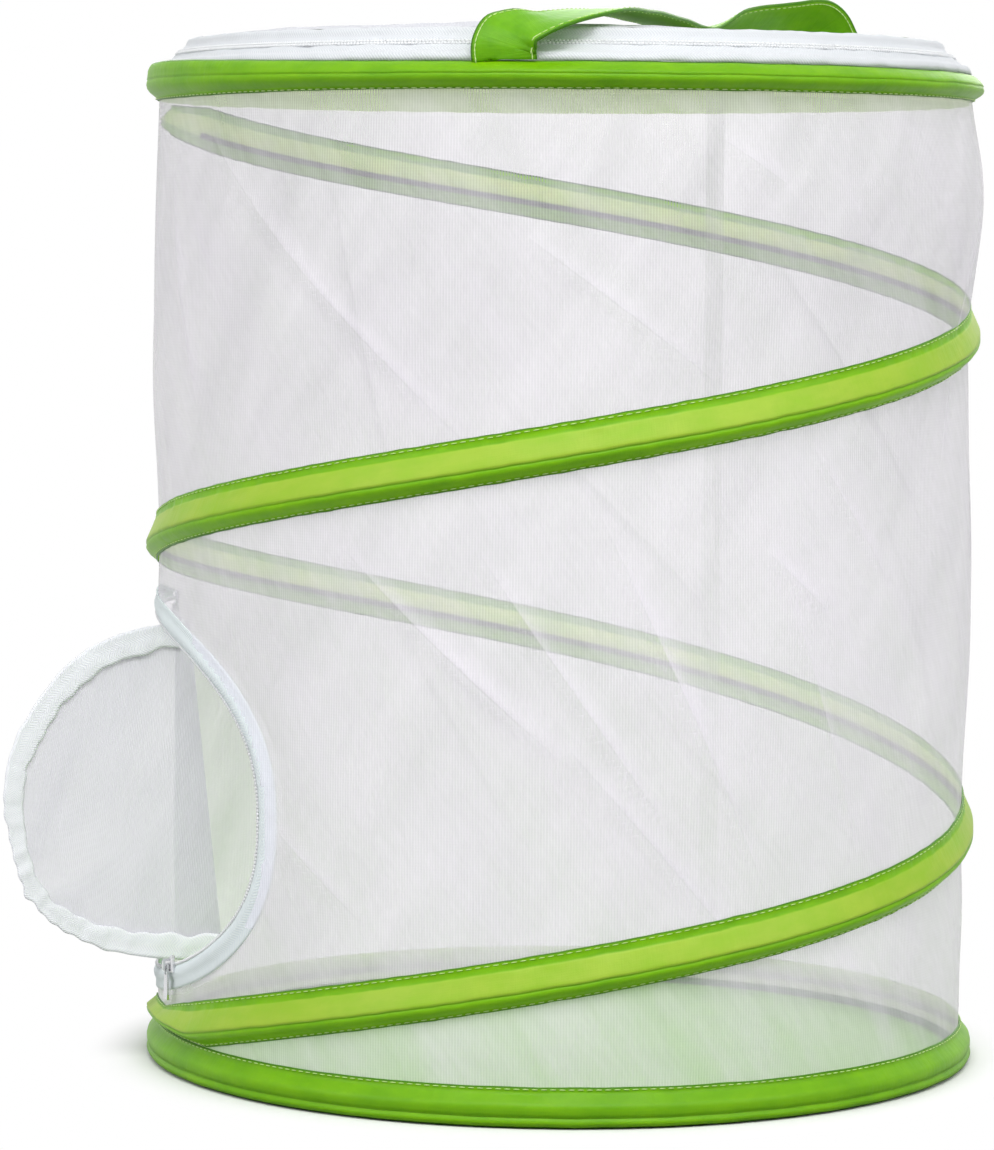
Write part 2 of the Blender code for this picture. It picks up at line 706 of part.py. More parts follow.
def strap_route():
    """Route of the strap: shares of the wall's radius across, of the strap's rise upwards."""
    root_height = CAGE_HEIGHT + GAP
    front_way = on_cylinder(1.0, STRAP_FRONT_DEG + 90.0, 0.0)
    back_way = on_cylinder(1.0, STRAP_BACK_DEG - 90.0, 0.0)
    points = [
        on_cylinder(STRAP_ROOT_RADIUS, STRAP_FRONT_DEG, root_height + up * STRAP_RISE)
        for up in STRAP_ROOT_SHARES
    ]
    ways = [front_way, front_way]
    for across, along, up in STRAP_ROUTE_SHARES:
        height = root_height + up * STRAP_RISE
        points.append(Vector((across * WALL_RADIUS, along * WALL_RADIUS, height)))
    flat = Vector(STRAP_FLAT_WAY).normalized()
    leaning = Vector(STRAP_LEANING_WAY).normalized()
    ways += [front_way, front_way] + [flat] * STRAP_FLAT_POINTS
    ways += [leaning] * (len(points) - len(ways))
    for up in reversed(STRAP_ROOT_SHARES):
        points.append(on_cylinder(STRAP_ROOT_RADIUS, STRAP_BACK_DEG, root_height + up * STRAP_RISE))
        ways.append(back_way)
    return points, ways


def make_strap():
    points, ways = strap_route()
    path = smooth_path(points, STRAP_STEPS)
    widths = [way.normalized() for way in smooth_path(ways, STRAP_STEPS)]
    rings = []
    for k, (place, way) in enumerate(zip(path, widths)):
        along = (path[min(k + 1, len(path) - 1)] - path[max(k - 1, 0)]).normalized()
        if k in (0, len(path) - 1):
            along = Vector((0.0, 0.0, math.copysign(1.0, along.z)))
        across = (way - way.dot(along) * along).normalized() * STRAP_WIDTH / 2.0
        out = across.cross(along).normalized() * STRAP_THICKNESS / 2.0
        corners = (across + out, across - out, -across - out, -across + out)
        rings.append([place + corner for corner in corners])
    loft("carry_strap", rings, "green")


def slab(bm, outline, low, high):
    """A flat outline of (along, across) points made solid between two heights."""
    rings = [[Vector((x, y, z)) for x, y in outline] for z in (low, high)]
    loft_into(bm, rings)


def make_slider(name, frame, hook):
    """The slider's plate, and the bridge that its pull tab hangs on, which stands as hook is turned."""
    back, nose = SLIDER_LENGTH / 2.0, -SLIDER_LENGTH / 2.0
    wide, slim = SLIDER_WIDTH / 2.0, SLIDER_NOSE_WIDTH / 2.0
    outline = [(nose, -slim), (back, -wide), (back, wide), (nose, slim)]
    bm = bmesh.new()
    slab(bm, outline, 0.0, SLIDER_PLATE)
    edges = [edge for edge in bm.edges if edge.calc_length() > SLIDER_PLATE + GAP]
    bmesh.ops.bevel(
        bm,
        geom=edges,
        offset=SLIDER_BEVEL,
        segments=1,
        affect="EDGES",
        profile=0.5,
    )
    bm.transform(frame)
    plate = add_solid(name, bm, "metal")

    half, leg = BRIDGE_LENGTH / 2.0, BRIDGE_BAR
    base, top = SLIDER_PLATE - BRIDGE_SINK, SLIDER_PLATE + BRIDGE_RISE
    arch = [
        (-half, base),
        (-half, top - leg),
        (-half + leg, top),
        (half - leg, top),
        (half, top - leg),
        (half, base),
        (half - leg, base),
        (half - leg, top - leg),
        (-half + leg, top - leg),
        (-half + leg, base),
    ]
    side = BRIDGE_WIDTH / 2.0
    bm = bmesh.new()
    loft_into(bm, [[Vector((x, y, z)) for x, z in arch] for y in (-side, side)])
    bm.transform(hook)
    bridge = add_solid(name + "_bridge_guide", bm, "metal")
    bridge.hide_render = True
    bridge.display_type = "WIRE"
    join = plate.modifiers.new("bridge", "BOOLEAN")
    join.operation = "UNION"
    join.solver = "EXACT"
    join.object = bridge


def make_pull(name, frame):
    """A flat tab whose eye passes under the slider's bridge. Its axis is the bar in that eye."""
    eye = PULL_EYE_LENGTH
    neck, wide = PULL_NECK_WIDTH / 2.0, PULL_WIDTH / 2.0
    outline = [
        (-PULL_BAR, -neck),
        (eye, -neck),
        (PULL_LENGTH - neck, -wide),
        (PULL_LENGTH, -neck),
        (PULL_LENGTH, neck),
        (PULL_LENGTH - neck, wide),
        (eye, neck),
        (-PULL_BAR, neck),
    ]
    hole = neck - PULL_BAR
    window = [(0.0, -hole), (eye, -hole), (eye, hole), (0.0, hole)]
    half = PULL_THICKNESS / 2.0
    bm = bmesh.new()
    slab(bm, outline, -half, half)
    bm.transform(frame)
    tab = add_solid(name, bm, "metal")
    bm = bmesh.new()
    slab(bm, window, -PULL_LENGTH, PULL_LENGTH)
    bm.transform(frame)
    cutter = add_solid(name + "_eye_cutter", bm, "metal")
    cutter.hide_render = True
    cutter.display_type = "WIRE"
    cut = tab.modifiers.new("eye", "BOOLEAN")
    cut.operation = "DIFFERENCE"
    cut.solver = "EXACT"
    cut.object = cutter


def frame_from(along, normal, place):
    """A frame whose X runs along the zipper, Y across it and Z out of it."""
    across = normal.cross(along).normalized()
    rows = Matrix((along.normalized(), across, normal.normalized())).transposed()
    return Matrix.Translation(place) @ rows.to_4x4()


def make_sliders():
    bar_height = SLIDER_PLATE + (BRIDGE_RISE - BRIDGE_BAR) / 2.0
    hang = Matrix.Translation((PULL_BAR / 2.0, 0.0, bar_height))

    turn = -outline_turn_at(DOOR_SLIDER_ARC)
    spot = door_outline(turn, DOOR_SLIDER_OFFSET)
    ahead = door_outline(turn + 0.01, DOOR_SLIDER_OFFSET)
    radius = WALL_RADIUS - WALL_THICKNESS + DOOR_COIL_HEIGHT + GAP
    place = on_wall(spot.x, spot.y, radius)
    normal = Vector((place.x, place.y, 0.0)).normalized()
    along = on_wall(ahead.x, ahead.y, radius) - place
    along -= along.dot(normal) * normal
    hook = frame_from(Vector((0.0, 0.0, -1.0)), normal, place)
    make_slider("door_slider", frame_from(along, normal, place), hook)
    make_pull("door_pull_tab", hook @ hang)

    share = (RIM_COIL_SHARES[1] + LID_COIL_SHARES[0]) / 2.0
    radius, height = slope_point(share, LID_COIL_HEIGHT - LID_TAPE_THICKNESS + GAP)
    degrees = LID_SLIDER_DEG
    outward = on_cylinder(1.0, degrees, 0.0)
    normal = outward * LID_SLOPE_RISE + Vector((0.0, 0.0, LID_SLOPE_RUN))
    along = on_cylinder(1.0, degrees + 90.0, 0.0)
    frame = frame_from(along, normal.normalized(), on_cylinder(radius, degrees, height))
    make_slider("lid_slider", frame, frame)
    make_pull("lid_pull_tab", frame @ hang)


def build():
    clear_scene()
    make_hoops_and_helix()
    make_floor()
    make_wall()
    make_door()
    make_lid()
    make_strap()
    make_sliders()


build()
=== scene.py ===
import bmesh
import bpy
import math
from math import acos, copysign, cos, exp, hypot, pi, radians, sin
from mathutils import Matrix, Vector, noise


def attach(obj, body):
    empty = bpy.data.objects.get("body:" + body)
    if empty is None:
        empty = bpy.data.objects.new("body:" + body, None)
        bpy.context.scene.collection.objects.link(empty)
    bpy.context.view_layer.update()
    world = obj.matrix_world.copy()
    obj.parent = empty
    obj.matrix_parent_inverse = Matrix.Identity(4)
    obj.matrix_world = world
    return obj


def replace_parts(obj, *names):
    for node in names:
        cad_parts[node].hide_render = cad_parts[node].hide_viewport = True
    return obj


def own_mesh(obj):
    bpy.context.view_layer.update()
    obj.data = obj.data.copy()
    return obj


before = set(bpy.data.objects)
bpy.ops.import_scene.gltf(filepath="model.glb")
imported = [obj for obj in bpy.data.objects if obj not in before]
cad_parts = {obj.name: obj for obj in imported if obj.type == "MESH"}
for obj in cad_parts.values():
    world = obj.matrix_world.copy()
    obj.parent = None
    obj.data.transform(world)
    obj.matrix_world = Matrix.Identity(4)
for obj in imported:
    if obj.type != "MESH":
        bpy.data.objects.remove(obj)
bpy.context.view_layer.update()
print("frame loaded")

mm = 0.001
weldDistance = 0.02 * mm
thick = {"binding": 0.35 * mm, "zipper": 0.4 * mm, "cloth": 0.3 * mm}
cage = {"radius": 148 * mm, "height": 360 * mm, "wallLow": 3.4 * mm, "wallHigh": 359.4 * mm}


# --- camera, at the photograph's angle

view = {"distance": 1.65, "height": 0.3076, "down": 4.55, "turn": 0.825, "roll": 0.35, "lens": 140.4}
cameraData = bpy.data.cameras.new("camera")
cameraData.lens = view["lens"]
cameraData.clip_end = 50
camera = bpy.data.objects.new("camera", cameraData)
bpy.context.collection.objects.link(camera)
camera.matrix_world = (
    Matrix.Translation((0, -view["distance"], view["height"]))
    @ Matrix.Rotation(radians(view["turn"]), 4, "Z")
    @ Matrix.Rotation(radians(90 - view["down"]), 4, "X")
    @ Matrix.Rotation(radians(view["roll"]), 4, "Z")
)
bpy.context.scene.camera = camera


# --- small helpers

def onCylinder(radius, degrees, height):
    turn = radians(degrees)
    return Vector((radius * cos(turn), radius * sin(turn), height))


def soft(x, y, z=0.0):
    # smooth noise from -1 to 1, with features about one unit across
    return noise.noise(Vector((x, y, z)))


def addPiece(name, bm, material, body, slotName):
    bm.normal_update()
    mesh = bpy.data.meshes.new(name)
    bm.to_mesh(mesh)
    bm.free()
    mesh.shade_smooth()
    mesh.materials.append(material)
    piece = bpy.data.objects.new(name, mesh)
    bpy.context.collection.objects.link(piece)
    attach(piece, body)
    return piece


def clothGrid(along, across, place, flat, closed=False):
    # a grid of cloth: place and flat take shares along and across, flat gives metres of flat cloth
    bm = bmesh.new()
    bmesh.ops.create_grid(bm, x_segments=along, y_segments=across, size=0.5)
    uv = bm.loops.layers.uv.new("cloth")
    for face in bm.faces:
        for loop in face.loops:
            spot = loop.vert.co
            loop[uv].uv = flat(spot.x + 0.5, spot.y + 0.5)
    for vert in bm.verts:
        vert.co = place(vert.co.x + 0.5, vert.co.y + 0.5)
    if closed:
        bmesh.ops.remove_doubles(bm, verts=bm.verts[:], dist=weldDistance)
    return bm


def addCloth(name, sizes, place, flat, *looks, closed=False):
    # looks are addPiece's material, body and slot; the slot is not used
    return addPiece(name, clothGrid(*sizes, place, flat, closed), *looks)


def thicken(piece, thickness, offset=1.0, underside=None):
    solid = piece.modifiers.new("cloth thickness", "SOLIDIFY")
    solid.thickness = thickness
    solid.offset = offset
    if underside:
        piece.data.materials.append(underside)
        solid.material_offset = 1


def settle(piece):
    # applies the piece's modifiers, so that its mesh is final
    if not piece.modifiers:
        return
    depsgraph = bpy.context.evaluated_depsgraph_get()
    final = bpy.data.meshes.new_from_object(piece.evaluated_get(depsgraph), depsgraph=depsgraph)
    piece.modifiers.clear()
    piece.data = final


def squashAll(pieces):
    for piece in pieces:
        settle(piece)
        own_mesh(piece)


def addBeads(bm, count, place, size):
    # one rounded bead for each stitch or turn of a zipper's coil
    # place(k) gives its point, the direction along the row and the one away from the cloth
    for k in range(count):
        spot, way, out = place(k)
        side = out.cross(way).normalized()
        turn = Matrix((way.normalized(), side, out.normalized())).transposed().to_4x4()
        matrix = Matrix.Translation(spot) @ turn @ Matrix.Diagonal((*size, 1))
        bmesh.ops.create_icosphere(bm, subdivisions=1, radius=0.5, matrix=matrix)


# --- materials

def linear(code):
    parts = [int(code[k:k + 2], 16) / 255 for k in (1, 3, 5)]
    return tuple(c / 12.92 if c <= 0.04045 else ((c + 0.055) / 1.055) ** 2.4 for c in parts) + (1.0,)


def addNode(tree, kind, inputs=None, out=0, **settings):
    # adds a node, sets its sockets or links them, and gives the output that is asked for
    node = tree.nodes.new("ShaderNode" + kind)
    for key, value in settings.items():
        setattr(node, key, value)
    for socket, value in (inputs or {}).items():
        if isinstance(value, bpy.types.NodeSocket):
            tree.links.new(value, node.inputs[socket])
        else:
            node.inputs[socket].default_value = value
    return node.outputs[out]


def newMaterial(name, roughness, **sockets):
    material = bpy.data.materials.new(name)
    material.use_nodes = True
    shader = material.node_tree.nodes["Principled BSDF"]
    shader.inputs["Roughness"].default_value = roughness
    for socket, value in sockets.items():
        shader.inputs[socket.replace("_", " ")].default_value = value
    return material, material.node_tree, shader


def feed(tree, shader, **sockets):
    for socket, value in sockets.items():
        tree.links.new(value, shader.inputs[socket.replace("_", " ")])


def clothCoords(tree):
    # millimetres along and across the flat cloth, from the piece's own UV map
    uv = addNode(tree, "UVMap", uv_map="cloth")
    scaled = addNode(tree, "VectorMath", {0: uv, 3: 1000.0}, operation="SCALE")
    along = addNode(tree, "SeparateXYZ", {0: scaled})
    across = addNode(tree, "SeparateXYZ", {0: scaled}, out=1)
    return scaled, along, across


def threads(tree, coordinate, spacing):
    # 0 to 1 and back once each spacing, in millimetres
    turns = addNode(tree, "Math", {0: coordinate, 1: 2 * pi / spacing}, operation="MULTIPLY")
    wave = addNode(tree, "Math", {0: turns}, operation="SINE")
    return addNode(tree, "Math", {0: wave, 1: 0.5, 2: 0.5}, operation="MULTIPLY_ADD")


def makeNylonTape(name, pale, deep, width=None, facet=None, gloss=0.42, glow=0.5, paintedGlow=0.0):
    # nylon satin tape, calendered: smooth broad gloss along the folds, small puckers at the stitches
    # width is the tape's in millimetres, and shade is painted along its edges; facet is the pulled-tight part across
    # it, and its paler colour, which is partly painted light
    # glow is how much the thin cloth scatters; the last argument is the strength of a painted glow in the cloth's
    # own colour, standing in for the light that comes through it from outside
    material, tree, shader = newMaterial(
        name, gloss, Specular_IOR_Level=0.2, Emission_Strength=paintedGlow,
        Subsurface_Weight=glow, Subsurface_Radius=(1.0, 1.0, 1.0), Subsurface_Scale=0.8 * mm,
    )
    cloth, along, across = clothCoords(tree)
    spacing = 0.8  # real threads are 0.15 mm apart, drawn coarser so that they show
    weft = threads(tree, along, spacing)
    warp = threads(tree, across, spacing)
    weave = addNode(tree, "Math", {0: weft, 1: warp}, operation="MULTIPLY")
    stretched = addNode(tree, "Mapping", {0: cloth, 3: (0.05, 0.12, 1.0)})
    streaks = addNode(tree, "TexNoise", {0: stretched, "Scale": 1.0, "Detail": 4.0, "Roughness": 0.6})
    tone = addNode(tree, "MapRange", {0: streaks, 1: 0.35, 2: 0.65})
    colour = addNode(tree, "Mix", {0: tone, 6: linear(pale), 7: linear(deep)}, out=2, data_type="RGBA")
    if facet:
        # the part pulled tight over the wire is stretched and smoother; it is painted paler in patches, partly for
        # the stretched satin and partly as painted light: a highlight from above on the outside, light shining
        # through on the inside
        start, end, light = facet
        inner = addNode(tree, "MapRange", {0: across, 1: start - 0.25, 2: start + 0.25})
        outer = addNode(tree, "MapRange", {0: across, 1: end - 0.25, 2: end + 0.25, 3: 1.0, 4: 0.0})
        pulledAndPaintedLight = addNode(tree, "Math", {0: inner, 1: outer}, operation="MULTIPLY")
        patch = addNode(tree, "MapRange", {0: streaks, 1: 0.3, 2: 0.6, 3: 0.55, 4: 1.0})
        pulledAndPaintedLight = addNode(tree, "Math", {0: pulledAndPaintedLight, 1: patch}, operation="MULTIPLY")
        colour = addNode(tree, "Mix", {0: pulledAndPaintedLight, 6: colour, 7: linear(light)}, out=2, data_type="RGBA")
    if width:
        # painted shade: the tape's rolled edges, under a millimetre wide, are painted darker as if in their own
        # shadow
        fromMiddle = addNode(tree, "Math", {0: across, 1: width / 2}, operation="SUBTRACT")
        fromMiddle = addNode(tree, "Math", {0: fromMiddle}, operation="ABSOLUTE")
        edgeShade = addNode(tree, "MapRange", {0: fromMiddle, 1: width / 2 - 0.75, 2: width / 2 - 0.3})
        colour = addNode(tree, "Mix", {0: edgeShade, 6: colour, 7: linear("#467E06")}, out=2, data_type="RGBA")
    # painted glow: the cloth shines by its own colour, standing in for light that comes through it
    if paintedGlow:
        feed(tree, shader, Emission_Color=colour)
    gathers = addNode(tree, "Mapping", {0: cloth, 3: (0.32, 0.09, 1.0)})
    gathers = addNode(tree, "TexNoise", {0: gathers, "Scale": 1.0, "Detail": 3.0, "Roughness": 0.55})
    height = addNode(tree, "Math", {0: weave, 1: 0.06, 2: gathers}, operation="MULTIPLY_ADD")
    bump = addNode(tree, "Bump", {"Strength": 0.5, "Distance": 0.4 * mm, "Height": height})
    feed(tree, shader, Base_Color=colour, Normal=bump)
    return material


def makeNet(name, colour, cover, lines, spacing, creased=False):
    # warp-knitted polyester net: matt threads with holes, so that alpha follows the threads
    # cover is the share that the threads fill, lines is how much the upright threads stand out
    material, tree, shader = newMaterial(name, 0.75, Sheen_Weight=0.1)
    shader.inputs["Base Color"].default_value = linear(colour)
    cloth, along, across = clothCoords(tree)
    upright = threads(tree, along, spacing)
    level = threads(tree, across, spacing)
    soften = addNode(tree, "Math", {0: level, 1: 0.4}, operation="MULTIPLY")
    knit = addNode(tree, "Math", {0: upright, 1: 3.0, 2: soften}, operation="MULTIPLY_ADD")
    broad = addNode(tree, "Mapping", {0: cloth, 2: (0, 0, 0.6), 3: (26.0, 110.0, 1.0)}, vector_type="TEXTURE")
    broad = addNode(tree, "TexNoise", {0: broad, "Scale": 1.0, "Detail": 4.0, "Roughness": 0.6})
    loose = addNode(tree, "Math", {0: broad, 1: 0.7, 2: cover - 0.35 - 1.7 * lines}, operation="MULTIPLY_ADD")
    if creased:
        # threads lie closer together along a crease
        gathered = addNode(tree, "Attribute", out="Fac", attribute_name="gathered")
        loose = addNode(tree, "Math", {0: gathered, 1: 0.4, 2: loose}, operation="MULTIPLY_ADD")
        # sharp along the crease and fading over millimetres on its one side
        aside = addNode(tree, "Attribute", out="Fac", attribute_name="creaseSide")
        depth = addNode(tree, "Attribute", out="Fac", attribute_name="creaseDepth")
        sharp = addNode(tree, "MapRange", {0: aside, 1: -0.3, 2: 0.3})
        faded = addNode(tree, "MapRange", {0: aside, 1: 0.3, 2: 10.0, 3: 1.0, 4: 0.0})
        crease = addNode(tree, "Math", {0: faded, 1: 2.0}, operation="POWER")
        crease = addNode(tree, "Math", {0: crease, 1: sharp}, operation="MULTIPLY")
        crease = addNode(tree, "Math", {0: crease, 1: depth}, operation="MULTIPLY")
        loose = addNode(tree, "Math", {0: crease, 1: 0.26, 2: loose}, operation="MULTIPLY_ADD")
    alpha = addNode(tree, "Math", {0: knit, 1: lines, 2: loose}, operation="MULTIPLY_ADD", use_clamp=True)
    bump = addNode(tree, "Bump", {"Strength": 0.3, "Distance": 0.15 * mm, "Height": knit})
    if creased:
        bump = addNode(tree, "Bump", {"Strength": 0.35, "Distance": 0.5 * mm, "Height": crease, "Normal": bump})
    feed(tree, shader, Alpha=alpha, Normal=bump)
    return material


def makeZipperTape(name, dark, pale):
    # woven polyester zipper tape: matt, with a herringbone rib
    material, tree, shader = newMaterial(name, 0.7, Sheen_Weight=0.15)
    _, along, across = clothCoords(tree)
    zigzag = addNode(tree, "Math", {0: across, 1: 2.0}, operation="PINGPONG")
    slanted = addNode(tree, "Math", {0: along, 1: zigzag}, operation="ADD")
    rib = threads(tree, slanted, 1.1)
    colour = addNode(tree, "Mix", {0: rib, 6: linear(dark), 7: linear(pale)}, out=2, data_type="RGBA")
    bump = addNode(tree, "Bump", {"Strength": 0.5, "Distance": 0.15 * mm, "Height": rib})
    feed(tree, shader, Base_Color=colour, Normal=bump)
    return material


def makePlain(name, colour, roughness, grain, metallic=0.0):
    # grain is the size of the surface's unevenness in millimetres
    material, tree, shader = newMaterial(name, roughness, Metallic=metallic)
    coords = addNode(tree, "TexCoord", out="Object")
    uneven = addNode(tree, "TexNoise", {0: coords, "Scale": 1000 / grain, "Detail": 3.0})
    dull = addNode(tree, "Math", {0: uneven, 1: 0.2, 2: roughness - 0.1}, operation="MULTIPLY_ADD")
    darker = [channel * 0.86 for channel in linear(colour)[:3]] + [1.0]
    mixed = addNode(tree, "Mix", {0: uneven, 6: linear(colour), 7: darker}, out=2, data_type="RGBA")
    bump = addNode(tree, "Bump", {"Strength": 0.15, "Distance": 0.1 * mm, "Height": uneven})
    feed(tree, shader, Base_Color=mixed, Roughness=dull, Normal=bump)
    return material


# its facet is painted paler, partly for the stretched satin and partly as a painted highlight of the light from
# above
helixTape = makeNylonTape("satin nylon binding", "#84C004", "#74B202", width=17, facet=(3.6, 11.4, "#A8C83E"))
hoopTape = makeNylonTape("satin nylon binding of the hoops", "#7EBA06", "#6EAC02", width=12)
# the insides of the bindings are painted paler and glow by their own colour: painted light for the light that shines
# through the thin tape from outside
tapeInside = makeNylonTape("uncoated inside of the binding", "#CBDC98", "#B9CC82", gloss=0.6, glow=0.9, paintedGlow=0.14)
# the helix binding's inside is painted pale, palest across the facet, and glows: painted light shining through from
# behind
helixInside = makeNylonTape(
    "uncoated inside of the helix binding", "#9CC844", "#8CBC38", width=17, facet=(3.4, 11.0, "#E6FCA0"),
    gloss=0.6, glow=1.0, paintedGlow=0.3,
)
pipingTape = makeNylonTape("nylon piping", "#44800A", "#3C7408")
# the strap glows a little by its own colour: painted light for its far loop, lit from behind
strapTape = makeNylonTape("nylon strap", "#70B008", "#60A004", width=22, glow=0.8, paintedGlow=0.1)
floorCloth = makeNylonTape("coated polyester floor", "#7CBC1C", "#6EB012", gloss=0.5)
# the top binding's fold is painted pale and glows: painted light standing in for light through the tape
topInside = makeNylonTape("uncoated inside of the top binding", "#D6E2BC", "#C8D6AC", gloss=0.6, glow=0.9, paintedGlow=0.3)
wallNet = makeNet("polyester net", "#FAF5FF", 0.53, 0.03, 1.0, creased=True)
flapNet = makeNet("polyester net of the flap", "#E4E3EB", 0.82, 0.006, 0.9)
seamNet = makeNet("double net of the seam", "#FFFFFF", 0.3, 0.03, 1.0)
lidNet = makeNet("dense polyester net of the lid", "#D2D3DA", 0.97, 0.01, 1.2)
zipperTape = makeZipperTape("woven zipper tape", "#F0F3FA", "#FBFCFF")
doorZipperTape = makeZipperTape("woven zipper tape of the door", "#EAF5F9", "#F6FFFF")
lidZipperTape = makeZipperTape("woven zipper tape of the lid", "#D6DADF", "#E6E9EC")
coilPlastic = makePlain("polyester zipper coil", "#F2F4F6", 0.4, 2.0)
greenThread = makePlain("polyester sewing thread", "#D8F49C", 0.5, 0.6)
springSteel = makePlain("tempered spring steel", "#4A4B4E", 0.45, 4.0, metallic=0.6)
nickel = makePlain("nickel-plated zinc", "#DADBDE", 0.25, 3.0, metallic=1.0)
print("materials made")


# --- helix, hoops and their tapes

helix = {
    "start": 186.0, "end": 890.0, "tableStart": 180.0, "tableStep": 90.0,
    "heights": [5.0, 52.0, 91.0, 141.0, 188.5, 231.0, 271.0, 314.0, 350.0],  # mm, each quarter turn
    "width": 17 * mm, "wireBelow": 2.5 * mm, "stations": 1300, "floor": 14.2 * mm, "ceiling": 348.8 * mm,
    "leastHalf": 4 * mm,
}
wire = {"radius": 1.2 * mm, "out": 2.6 * mm, "start": 192, "end": 876, "degreesEach": 3}
hoop = {"stations": 480, "start": 66, "end": 426}
crestShare = 0.65  # where the tapes' crest over the wire lies, from the upper edge
stitchStep, coilPitch = 3.1 * mm, 1.3  # the pitch in millimetres


def hermite(a, b, slopeA, slopeB, t):
    # a smooth curve from a to b, with its slopes at both ends
    blended = a * (2 * t**3 - 3 * t**2 + 1) + slopeA * (t**3 - 2 * t**2 + t)
    return blended + b * (3 * t**2 - 2 * t**3) + slopeB * (t**3 - t**2)


def helixCentre(degrees):
    heights = helix["heights"]
    place = (degrees - helix["tableStart"]) / helix["tableStep"]
    k = min(max(int(place), 0), len(heights) - 2)
    t = place - k
    before = heights[k - 1] if k else 2 * heights[0] - heights[1]
    after = heights[k + 2] if k + 2 < len(heights) else 2 * heights[-1] - heights[-2]
    a, b = heights[k], heights[k + 1]
    return hermite(a, b, (b - before) / 2, (after - a) / 2, t) * mm


# share across from the upper edge, and how far the tape stands off the wall in millimetres
bandProfile = [
    (0.00, 0.35), (0.03, 0.9), (0.07, 0.6), (0.13, 0.95), (0.19, 1.0), (0.215, 1.4),
    (0.35, 2.4), (0.52, 3.7), (0.62, 4.45), (0.665, 4.5), (0.685, 3.8), (0.71, 4.3),
    (0.76, 4.5), (0.83, 3.7), (0.9, 2.2), (0.945, 0.95), (0.975, 1.0), (1.00, 0.3),
]


def profileAt(profile, share):
    for (a, low), (b, high) in zip(profile, profile[1:]):
        if share <= b:
            return low + (high - low) * (share - a) / (b - a)
    return profile[-1][1]


def bandRows(profile):
    # shares across at which the tape has a row of vertices
    rows = []
    for (a, _), (b, _) in zip(profile, profile[1:]):
        steps = max(1, round((b - a) / 0.05))
        rows += [a + (b - a) * k / steps for k in range(steps)]
    return rows + [profile[-1][0]]


def heightAcross(levels, degrees, share):
    # levels(degrees) gives the heights of the tape's lower edge, its crest over the wire and its upper edge
    low, crest, high = levels(degrees)
    if share < crestShare:
        return high + (crest - high) * share / crestShare
    return crest + (low - crest) * (share - crestShare) / (1 - crestShare)


def makeBand(
    name, stations, start, end, levels, profile, body, material, inside, closed=False, puckers=1.0, flare=None,
):
    rows = bandRows(profile)
    across = len(rows) - 1
    widest = 12 if closed else 17  # mm

    def spot(t, s):
        degrees = start + (end - start) * t
        share = rows[round(s * across)]
        run = radians(degrees) * cage["radius"] / mm
        lap = (degrees % 360) if closed else degrees
        ring = onCylinder(12.0, lap, 0) if closed else Vector((run / 7, 0, 0))
        nearEdge = max(0, 1 - abs(share - 0.16) / 0.16) + 0.6 * max(0, 1 - (1 - share) / 0.12)
        gathered = 0.5 + 0.5 * soft(ring.x * 0.35, ring.y * 0.35, 21)
        pucker = soft(ring.x * 1.5, ring.y * 1.5, share * 1.5 + 4) * 1.1 * nearEdge * gathered * puckers
        wave = soft(ring.x * 0.3, ring.y * 0.3, share + 9) * 0.25 + 0.1
        lift = profileAt(profile, share) + pucker + wave + (flare(degrees, share) if flare else 0)
        height = heightAcross(levels, degrees, share) + soft(ring.x, ring.y, 3 + share) * 0.22 * mm
        return onCylinder(cage["radius"] + lift * mm, degrees, height)

    def flat(t, s):
        return (radians(start + (end - start) * t) * cage["radius"], rows[round(s * across)] * widest * mm)

    bm = clothGrid(stations, across, spot, flat, closed)
    bmesh.ops.reverse_faces(bm, faces=bm.faces[:])
    piece = addPiece(name, bm, material, body, "green_tape")
    thicken(piece, thick["binding"], -1.0, inside)
    return piece


def helixLevels(degrees):
    # lower edge, wire and upper edge of the helix, between the two hoops
    centre = helixCentre(degrees)
    half, least, floor, ceiling = helix["width"] / 2, helix["leastHalf"], helix["floor"], helix["ceiling"]
    crest = min(max(centre - helix["wireBelow"], floor + least), ceiling - least)
    return max(centre - half, floor), crest, min(max(centre + half, crest + least), ceiling)


def stitchLine(bm, length, place, size):
    # one small stitch each step along place(metres)
    addBeads(bm, int(length / stitchStep), lambda k: place((k + 0.5) * stitchStep), size)


def bandStitches(name, start, end, levels, profile, body, shares):
    bm = bmesh.new()
    radius = cage["radius"]
    for share in shares:
        def place(run, share=share):
            degrees = start + math.degrees(run / radius)

            def at(d):
                return onCylinder(radius + (profileAt(profile, share) + 0.3) * mm, d, heightAcross(levels, d, share))

            way = at(degrees + 0.5) - at(degrees - 0.5)
            return at(degrees), way, onCylinder(1, degrees, 0)
        stitchLine(bm, radians(end - start) * radius, place, (2.5 * mm, 0.38 * mm, 0.4 * mm))
    return addPiece(name, bm, greenThread, body, "green_tape")


helixBand = makeBand(
    "helixTape", helix["stations"], helix["start"], helix["end"], helixLevels, bandProfile, "base",
    helixTape, helixInside,
)
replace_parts(helixBand, "helix_binding")
helixStitches = bandStitches(
    "helixStitches", helix["start"] + 2, helix["end"] - 2, helixLevels, bandProfile, "base", (0.06, 0.955)
)

